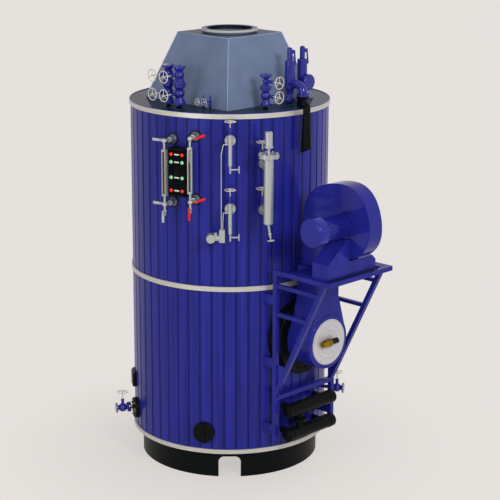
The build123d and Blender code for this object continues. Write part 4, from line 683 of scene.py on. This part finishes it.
class BOILER_OT_finishes(bpy.types.Operator):
    """Makes the finishes and gives each CAD node its own"""
    bl_idname = "boiler.finishes"
    bl_label = "Finishes"

    def execute(self, context):
        look = context.scene.boiler_finishes
        valve = {"roughness": 0.12, "streaks": 1.0, "sheen": 0.36}
        slate = {"roughness": 0.42, "grain": 7, "shade": 0.88}
        FINISHES.update({
            "cladding enamel": painted_over(
                # Its upright streaks of darker and lighter colour are painted reflections of the
                # surroundings
                enamel_paint("Cladding, sprayed gloss enamel, painted shade in the flutes", look.enamel,
                             roughness=0.28, streaks=0.03, spread=55, sheen=0.16, coat=0.10,
                             depth=0.42),
                # Painted shade in the flutes' bottoms: half the enamel's colour inside the flute
                # radius
                "radius", FLUTE_SHADE_RADIUS, [v * 0.5 for v in look.enamel]),
            "fitting enamel": enamel_paint("Valve castings, gloss enamel", look.enamel, **valve),
            "plant enamel": enamel_paint("Frame and duct, gloss enamel", look.enamel,
                                         roughness=0.24, streaks=0.5, sheen=0.14, coat=0.08),
            "fan enamel": enamel_paint("Fan scroll, polished enamel", look.enamel,
                                       roughness=0.12, streaks=0.5, spread=400, sheen=0.21,
                                       coat=0.0),
            "motor enamel": enamel_paint("Fan motor, lacquered enamel", look.enamel,
                                         roughness=0.10, streaks=0.5, spread=400, sheen=0.24,
                                         coat=0.0),
            "stainless strip": brushed_strip("Brushed stainless strip", look.band),
            "fitting enamel on black stems": painted_over(
                enamel_paint("Valve castings, gloss enamel on black stems", look.enamel, **valve),
                "height", STEM_TOP, look.black),
            "fitting enamel on a black stub": painted_over(
                enamel_paint("Blow-down valve, gloss enamel on a black stub", look.enamel, **valve),
                "radius", COUNTER_FLANGE, look.black),
            "slate plate paint": painted_over(
                satin_paint("Smoke box, satin slate paint under a dark lid", look.hood, **slate),
                "height", LID_PAINT_START, look.plate, below=False),
            "flue collar paint": painted_over(
                painted_over(
                    satin_paint("Flue collar, satin slate paint with a bright rim", look.hood,
                                **slate),
                    "radius", FLUE_BORE_PAINT, look.black),
                # Painted highlight in the bands' pale colour on the collar's rim, beyond this
                # radius
                "radius", FLUE_RIM_HIGHLIGHT, look.band, below=False),
            # The seams' colour, 1.7 times the smoke box's, is a painted highlight along its corners
            "seam highlight paint": satin_paint("Corner seam, painted highlight",
                                      [v * 1.7 for v in look.hood],
                                      roughness=0.35, grain=6, shade=0.9),
            "dark deck paint": satin_paint("Top plate, dark gloss paint", look.plate,
                                           roughness=0.13, grain=9, shade=0.85, sheen=0.018),
            "black stove paint": satin_paint("Black stove paint", look.black,
                                             roughness=0.38, grain=5, shade=0.7, sheen=0.07),
            "pale cast wheel": cast_metal("Handwheel, pale coated casting", look.wheel,
                                          metallic=0.0, roughness=0.38, grain=4),
            "zinc-coated casting": cast_metal("Zinc-coated casting", look.fitting,
                                              metallic=0.55, roughness=0.33, grain=5),
            "zinc casting on steel flanges": painted_over(
                cast_metal("Zinc-coated casting on dark steel flanges", look.fitting,
                           metallic=0.55, roughness=0.30, grain=5),
                "radius", GAUGE_FLANGE_FRONT, look.steel),
            "zinc casting on enamelled valves": painted_over(
                cast_metal("Zinc-coated casting on enamelled root valves", look.fitting,
                           metallic=0.55, roughness=0.33, grain=5),
                "radius", ROOT_VALVE_FRONT, look.enamel),
            "red lever paint": enamel_paint("Lever, red enamel", look.sleeve,
                                            roughness=0.3, streaks=1.0),
            "red sleeve": satin_paint("Lever sleeve, dipped red vinyl", look.sleeve,
                                      roughness=0.4, grain=3, shade=0.9),
            "grey sleeve": satin_paint("Lever sleeve, dipped grey vinyl", look.fitting,
                                       roughness=0.45, grain=3, shade=0.9),
            "enamelled burner plate": enamelled_plate("Burner plate, pale enamel", look.burner),
            "turned brass": turned_brass("Turned brass and blackened sleeve", look.brass,
                                         linear("20282C")),
            "sight glass": sight_glass("Reflex gauge glass"),
            "red lens": lamp_lens("Lamp lens, red", "E8201C"),
            "green lens": lamp_lens("Lamp lens, green", "86D9A0"),
            # The legend strips glow faintly like the lamps, though they hold no lamp: a painted
            # glow
            "pale glowing legend": lamp_lens("Legend strip, pale, with a painted glow", "D9DAD6"),
            "gasket and shadow strip": satin_paint("Gasket ring, black rubber", linear("121314"),
                                  roughness=0.6, grain=4),
        })
        wheels = [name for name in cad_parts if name.endswith("_wheel")]
        for finish_name, names in {**NODE_FINISHES, "pale cast wheel": wheels}.items():
            for name in names:
                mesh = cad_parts[name].data
                mesh.materials.clear()
                mesh.materials.append(finish(finish_name))
        return {"FINISHED"}


class BOILER_OT_flange_bolts(bpy.types.Operator):
    """Bolts on the flanges of the safety, blow-down and root valves and the electrode column"""
    bl_idname = "boiler.flange_bolts"
    bl_label = "Flange bolts"

    def execute(self, context):
        across = context.scene.boiler_sizes.flange_bolt
        blue, grey = [], []
        for xy in SAFETY_PLACES:
            blue += ring_of(upright(xy, SAFETY_FLANGE, "down"), SAFETY_BOLT_CIRCLE, 4, 45)
        for bearing, height in BLOWDOWNS:
            blue += ring_of(at(bearing, 0, BLOWDOWN_FLANGE, height), BLOWDOWN_BOLT_CIRCLE, 4, 45)
        for bearing, heights in ((POT_BEARING, POT_HEIGHTS), (COLUMN_BEARING, COLUMN_VALVES)):
            for height in heights:
                face = at(bearing, 0, ROOT_FLANGE_FACE, height)
                grey += ring_of(face, ROOT_BOLT_CIRCLE, 4, 45)
        for height, aim in ((COLUMN_FLANGE_TOP, "up"), (COLUMN_FLANGE_UNDERSIDE, "down")):
            face = at(COLUMN_BEARING, 0, COLUMN_AXIS, height, aim)
            grey += ring_of(face, COLUMN_BOLT_CIRCLE, 8)
        bolts("blue_flange_bolts", across, blue, finish("fitting enamel"))
        bolts("grey_flange_bolts", across * GREY_BOLT_SHARE, grey, finish("zinc-coated casting"))
        return {"FINISHED"}


class BOILER_OT_cover_bolts(bpy.types.Operator):
    """Bolts of the piped cover, anchor ring, furnace mouth, heaters, fan and frame pads"""
    bl_idname = "boiler.cover_bolts"
    bl_label = "Cover and plate bolts"

    def execute(self, context):
        across = context.scene.boiler_sizes.small_bolt
        bearing, height = PIPED_COVER
        black = ring_of(at(bearing, 0, COVER_FACE, height), COVER_BOLT_CIRCLE, 8, 22.5)
        black += [upright(on_circle(ANCHOR_CIRCLE, 15 + 360 / ANCHOR_COUNT * k), ANCHOR_RING_TOP)
                  for k in range(ANCHOR_COUNT)]
        black += ring_of(at(BURNER_BEARING, 0, MOUTH_FACE, BURNER_HEIGHT), MOUTH_BOLT_CIRCLE, 20)
        for height in HEATER_HEIGHTS:
            for side, aim in SIDES:
                end = at(BURNER_BEARING, side * HEATER_HALF, HEATER_AXIS, height, aim)
                black += ring_of(end, HEATER_BOLT_CIRCLE, 6)
        motor = at(BURNER_BEARING, -MOTOR_FLANGE, FAN_AXIS, FAN_HEIGHT, "left")
        eye = at(BURNER_BEARING, EYE_FACE, FAN_AXIS, FAN_HEIGHT, "right")
        blue = ring_of(motor, MOTOR_BOLT_CIRCLE, 8, 7.5) + ring_of(eye, EYE_BOLT_CIRCLE, 12)
        for side, aim in SIDES:
            for pad in FRAME_PADS:
                blue += [at(BURNER_BEARING, side * PAD_FACE, PAD_DEPTH, pad + rise, aim)
                         for rise in (-PAD_BOLT_RISE, PAD_BOLT_RISE)]
        bolts("black_cover_bolts", across, black, finish("black stove paint"))
        bolts("blue_plant_bolts", across, blue, finish("plant enamel"))
        return {"FINISHED"}


class BOILER_OT_hood_seams(bpy.types.Operator):
    """Welded seams up the smoke box's corners and round its lid, pale as a painted highlight"""
    bl_idname = "boiler.hood_seams"
    bl_label = "Smoke box seams"

    def execute(self, context):
        radius = context.scene.boiler_sizes.seam
        low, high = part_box("smoke_box")
        reach, lid = (half - radius * SEAM_SINK for half in (HOOD_FOOT, HOOD_LID))
        seams = []
        for k in range(4):
            bearing = HOOD_BEARING + 90 * k
            foot = Vector((*on_circle(reach, bearing), low.z + radius))
            head = Vector((*on_circle(lid, bearing), high.z - radius))
            next_head = Vector((*on_circle(lid, bearing + 90), high.z - radius))
            for start, end in ((foot, head), (head, next_head)):
                run = end - start
                bead = cylinder(10, radius, run.length)
                pick(bead, lambda centre, normal: abs(normal.z) > 0.9)
                bpy.ops.mesh.inset(thickness=radius * SEAM_END_INSET)
                bpy.ops.transform.resize(value=(1, 1, 1.0 + radius / run.length))
                leave()
                aim = run.to_track_quat("Z", "Y").to_matrix().to_4x4()
                settle(bead, Matrix.Translation((start + end) / 2) @ aim)
                seams.append(bead)
        piece = joined(seams)
        smooth(piece, 60)
        finish_piece(piece, "hood_seams", finish("seam highlight paint"))
        return {"FINISHED"}


class BOILER_OT_edge_beads(bpy.types.Operator):
    """Blue bead round the top plate's edge, and a painted shadow strip in front of the fan's
    pedestal
    """
    bl_idname = "boiler.edge_beads"
    bl_label = "Edge bead and pedestal shadow strip"

    def execute(self, context):
        radius = context.scene.boiler_sizes.bead
        bead = spun("bead", round_section(BEAD_CIRCLE, radius, 10), 180)
        smooth(bead, 60)
        settle(bead, upright((0, 0), BEAD_HEIGHT))
        finish_piece(bead, "top_plate_bead", finish("plant enamel"))
        left, right = PEDESTAL_SIDES
        # This black strip in front of the pedestal's foot stands in for the shadow under it: a
        # painted shadow
        strip = rounded_box((right - left, SHADOW_STRIP_DEPTH, SHADOW_STRIP_THICKNESS),
                            ((left + right) / 2, -SHADOW_STRIP_DEPTH / 2, SHADOW_STRIP_CENTRE), FINE_EDGE)
        settle(strip, at(BURNER_BEARING, 0, PEDESTAL_FRONT, FRAME_TOP, "up"))
        finish_piece(strip, "pedestal_shadow_strip", finish("gasket and shadow strip"))
        return {"FINISHED"}


class BOILER_OT_level_panel(bpy.types.Operator):
    """Bezel, lamps and plain legend strips of the level panel"""
    bl_idname = "boiler.level_panel"
    bl_label = "Level panel lamps"

    def execute(self, context):
        lamp = context.scene.boiler_sizes.lamp
        face = at(PANEL_BEARING, 0, PANEL_FACE, 0)
        bezel = rounded_box(
            (PANEL_WIDTH - 2 * BEZEL_SIDE, PANEL_HEIGHT - 2 * BEZEL_END, BEZEL_THICKNESS),
            (0, PANEL_LOW + PANEL_HEIGHT / 2, BEZEL_CENTRE), EDGE)
        pick(bezel, lambda centre, normal: normal.z > 0.95 and abs(centre.x) < 0.01)
        bpy.ops.mesh.inset(thickness=BEZEL_RIM)
        bpy.ops.mesh.extrude_region_move(
            TRANSFORM_OT_translate={"value": (0, 0, -BEZEL_RECESS)})
        leave()
        settle(bezel, face)
        finish_piece(bezel, "panel_bezel", finish("black stove paint"))
        for number, (share, lens) in enumerate(PANEL_ROWS, 1):
            height = PANEL_LOW + PANEL_HEIGHT * (1 - share)
            lamps = []
            for side in (-1, 1):
                cover = cylinder(24, lamp / 2, LAMP_HEIGHT,
                                 (side * LAMP_OFFSET, height, LAMP_CENTRE))
                pick(cover, lambda a, b: a.z > LAMP_CENTRE and b.z > LAMP_CENTRE, "edges")
                bpy.ops.mesh.bevel(offset=LAMP_EDGE, segments=3)
                leave()
                for vertex in cover.data.vertices:
                    outward = (vertex.co.x - side * LAMP_OFFSET) * side
                    if outward > 0:
                        narrowed = 1 - outward / lamp * LAMP_TAPER
                        vertex.co.y = height + (vertex.co.y - height) * narrowed
                lamps.append(cover)
            piece = joined(lamps)
            smooth(piece)
            settle(piece, face)
            finish_piece(piece, f"panel_lamps_{number}", finish(lens))
        heights = [PANEL_LOW + PANEL_HEIGHT * (1 - share) for share, _ in PANEL_ROWS]
        piece = joined([rounded_box(LEGEND_SIZE, (0, height, LEGEND_CENTRE), FINE_EDGE)
                        for height in heights])
        settle(piece, face)
        finish_piece(piece, "panel_legends", finish("pale glowing legend"))
        return {"FINISHED"}


class BOILER_OT_gauges(bpy.types.Operator):
    """Glasses, frame screws and boss rings of the two level gauges"""
    bl_idname = "boiler.gauges"
    bl_label = "Level gauges"

    def execute(self, context):
        across = context.scene.boiler_sizes.small_bolt * SCREW_SHARE
        glasses, screws, rings = [], [], []
        for _, bearing, bosses, *_ in GAUGES:
            low, high = bosses
            foot, head = low + GAUGE_FRAME_MARGIN, high - GAUGE_FRAME_MARGIN
            glass = rounded_box((GLASS_WIDTH, head - foot - GLASS_MARGIN, GLASS_THICKNESS),
                                (0, (foot + head) / 2, 0.0), EDGE)
            settle(glass, at(bearing, 0, GLASS_FACE, 0))
            glasses.append(glass)
            run = head - foot - 2 * SCREW_MARGIN
            for k in range(SCREWS_A_SIDE):
                height = foot + SCREW_MARGIN + run * k / (SCREWS_A_SIDE - 1)
                screws += [at(bearing, side * SCREW_OFFSET, SCREW_FACE, height)
                           for side in (-1, 1)]
            for height in bosses:
                ring = spun("boss_ring", BOSS_RING)
                settle(ring, at(bearing, 0, BOSS_RING_FACE, height))
                rings.append(ring)
        finish_piece(joined(glasses), "gauge_glasses", finish("sight glass"))
        bolts("gauge_screws", across, screws, finish("zinc-coated casting"))
        piece = joined(rings)
        smooth(piece)
        finish_piece(piece, "gauge_boss_rings", finish("gasket and shadow strip"))
        return {"FINISHED"}


class BOILER_OT_lever_sleeves(bpy.types.Operator):
    """Dipped sleeves over the blades of the gauges' cock levers"""
    bl_idname = "boiler.lever_sleeves"
    bl_label = "Lever sleeves"

    def execute(self, context):
        thick = context.scene.boiler_sizes.sleeve
        long = LEVER_LENGTH * SLEEVE_SHARE
        middle = (LEVER_LENGTH * SLEEVE_END_SHARE - long / 2, 0, LEVER_THICKNESS / 2)
        for name, bearing, (low, high), side, rise in GAUGES:
            vinyl, slot = SLEEVE_LOOKS[name]
            level = 90 - 90 * side + side * rise
            cock = (side * GAUGE_COCK_OFFSET, GAUGE_COCK)
            levers = (("lower", *cock, low, level), ("upper", *cock, high, level),
                      ("drain", 0.0, GAUGE_DRAIN_COCK, low - GAUGE_DRAIN_DROP, -90))
            for place, across, radial, height, angle in levers:
                sleeve = rounded_box((long, SLEEVE_WIDTH, thick), middle, SLEEVE_EDGE, 4)
                pick(sleeve, lambda centre, normal: normal.x > 0.9)
                bpy.ops.transform.resize(value=SLEEVE_TIP)
                leave()
                settle(sleeve, at(bearing, across, radial, height)
                       @ Matrix.Rotation(radians(angle), 4, "Z"))
                body = f"gauge_{name}_{place}_lever"
                finish_piece(sleeve, f"{body}_sleeve", finish(vinyl), body)
        return {"FINISHED"}


class BOILER_OT_fan_guard(bpy.types.Operator):
    """Wire guard over the fan's inlet"""
    bl_idname = "boiler.fan_guard"
    bl_label = "Fan inlet guard"

    def execute(self, context):
        wire = context.scene.boiler_sizes.guard_wire
        made = [spun("guard_ring", round_section(radius, wire, 8)) for radius in GUARD_RINGS]
        for k in range(4):
            bar = cylinder(8, wire, GUARD_SPAN)
            pick(bar, lambda centre, normal: abs(normal.z) > 0.9)
            bpy.ops.mesh.inset(thickness=wire * 0.3)
            leave()
            behind = Matrix.Translation((0, 0, -wire))
            settle(bar, behind @ Matrix.Rotation(radians(45 * k), 4, "Z") @ AIM["right"])
            made.append(bar)
        piece = joined(made)
        smooth(piece, 60)
        settle(piece, at(BURNER_BEARING, GUARD_FACE, FAN_AXIS, FAN_HEIGHT, "right"))
        finish_piece(piece, "fan_inlet_guard", finish("plant enamel"))
        return {"FINISHED"}


class BOILER_OT_heaters(bpy.types.Operator):
    """Straps and end covers of the two oil heaters"""
    bl_idname = "boiler.heaters"
    bl_label = "Oil heaters"

    def execute(self, context):
        width = context.scene.boiler_sizes.strap
        made = []
        for height in HEATER_HEIGHTS:
            for offset in STRAP_OFFSETS:
                outline = [(radius, share * width) for radius, share in STRAP_OUTLINE]
                strap = spun("strap", outline, 48)
                settle(strap, at(BURNER_BEARING, offset, HEATER_AXIS, height, "right"))
                made.append(strap)
            for side, aim in SIDES:
                cap = spun("cap", HEATER_CAP)
                settle(cap, at(BURNER_BEARING, side * HEATER_HALF, HEATER_AXIS, height, aim))
                made.append(cap)
        piece = joined(made)
        smooth(piece)
        finish_piece(piece, "heater_straps", finish("black stove paint"))
        return {"FINISHED"}


class BOILER_OT_stage(bpy.types.Operator):
    """Pale floor, soft lamps, the plain surroundings and the camera"""
    bl_idname = "boiler.stage"
    bl_label = "Studio"

    def execute(self, context):
        scene = context.scene
        scene.view_settings.view_transform = "Standard"
        pale = scene.boiler_finishes.floor
        deselect()
        bpy.ops.mesh.primitive_plane_add(size=FLOOR_SIZE, location=(0, 0, 0))
        floor = bpy.context.object
        pick(floor, lambda centre, normal: True)
        bpy.ops.mesh.subdivide(number_cuts=FLOOR_CUTS)
        leave()
        floor.name = "studio_floor"
        floor.data.materials.append(studio_floor("Matt studio floor", pale))
        world = bpy.data.worlds.new("Studio surroundings")
        scene.world = world
        world.use_nodes = True
        tree = world.node_tree
        tree.nodes.clear()
        ambient, seen = (
            node(tree, "ShaderNodeBackground", Color=rgba(pale), Strength=strength)
            for strength in (AMBIENT_STRENGTH, 1.0))
        mix = node(tree, "ShaderNodeMixShader", enumerate((
            background_rays(tree), ambient.outputs["Background"], seen.outputs["Background"])))
        node(tree, "ShaderNodeOutputWorld", [("Surface", mix.outputs["Shader"])])
        for name, place, target, size, power, mirrored in LAMPS:
            light = bpy.data.lights.new(name, "AREA")
            light.shape = "RECTANGLE"
            light.size, light.size_y = size
            light.energy = power
            lamp = bpy.data.objects.new(name, light)
            scene.collection.objects.link(lamp)
            lamp.location = place
            aim = (Vector(target) - Vector(place)).to_track_quat("-Z", "Y")
            lamp.rotation_euler = aim.to_euler()
            lamp.visible_glossy = mirrored
        lens = bpy.data.cameras.new("photo_camera")
        lens.sensor_width, lens.lens = CAMERA_SENSOR, CAMERA_LENS
        lens.shift_x = CAMERA_SHIFT
        lens.clip_end = CAMERA_RANGE
        camera = bpy.data.objects.new("photo_camera", lens)
        scene.collection.objects.link(camera)
        camera.location = CAMERA_PLACE
        camera.rotation_euler = (radians(90 - CAMERA_PITCH), 0, 0)
        scene.camera = camera
        return {"FINISHED"}


class BOILER_PT_panel(bpy.types.Panel):
    """Sizes, colours and pieces of the boiler"""
    bl_idname = "BOILER_PT_panel"
    bl_label = "Steam boiler"
    bl_space_type = "VIEW_3D"
    bl_region_type = "UI"
    bl_category = "Boiler"

    def draw(self, context):
        for group in (context.scene.boiler_finishes, context.scene.boiler_sizes):
            column = self.layout.column()
            for name in group.__annotations__:
                column.prop(group, name)
        for operator in PIECES:
            self.layout.operator(operator.bl_idname)


PIECES = (
    BOILER_OT_finishes, BOILER_OT_flange_bolts, BOILER_OT_cover_bolts, BOILER_OT_hood_seams,
    BOILER_OT_edge_beads, BOILER_OT_level_panel, BOILER_OT_gauges, BOILER_OT_lever_sleeves,
    BOILER_OT_fan_guard, BOILER_OT_heaters, BOILER_OT_stage,
)
CLASSES = (BoilerFinishes, BoilerSizes, *PIECES, BOILER_PT_panel)


def register():
    for cls in CLASSES:
        bpy.utils.register_class(cls)
    bpy.types.Scene.boiler_finishes = bpy.props.PointerProperty(type=BoilerFinishes)
    bpy.types.Scene.boiler_sizes = bpy.props.PointerProperty(type=BoilerSizes)


def unregister():
    del bpy.types.Scene.boiler_sizes
    del bpy.types.Scene.boiler_finishes
    for cls in reversed(CLASSES):
        bpy.utils.unregister_class(cls)


def main():
    register()
    for operator in PIECES:
        group, name = operator.bl_idname.split(".")
        getattr(getattr(bpy.ops, group), name)()


if __name__ == "__main__":
    main()
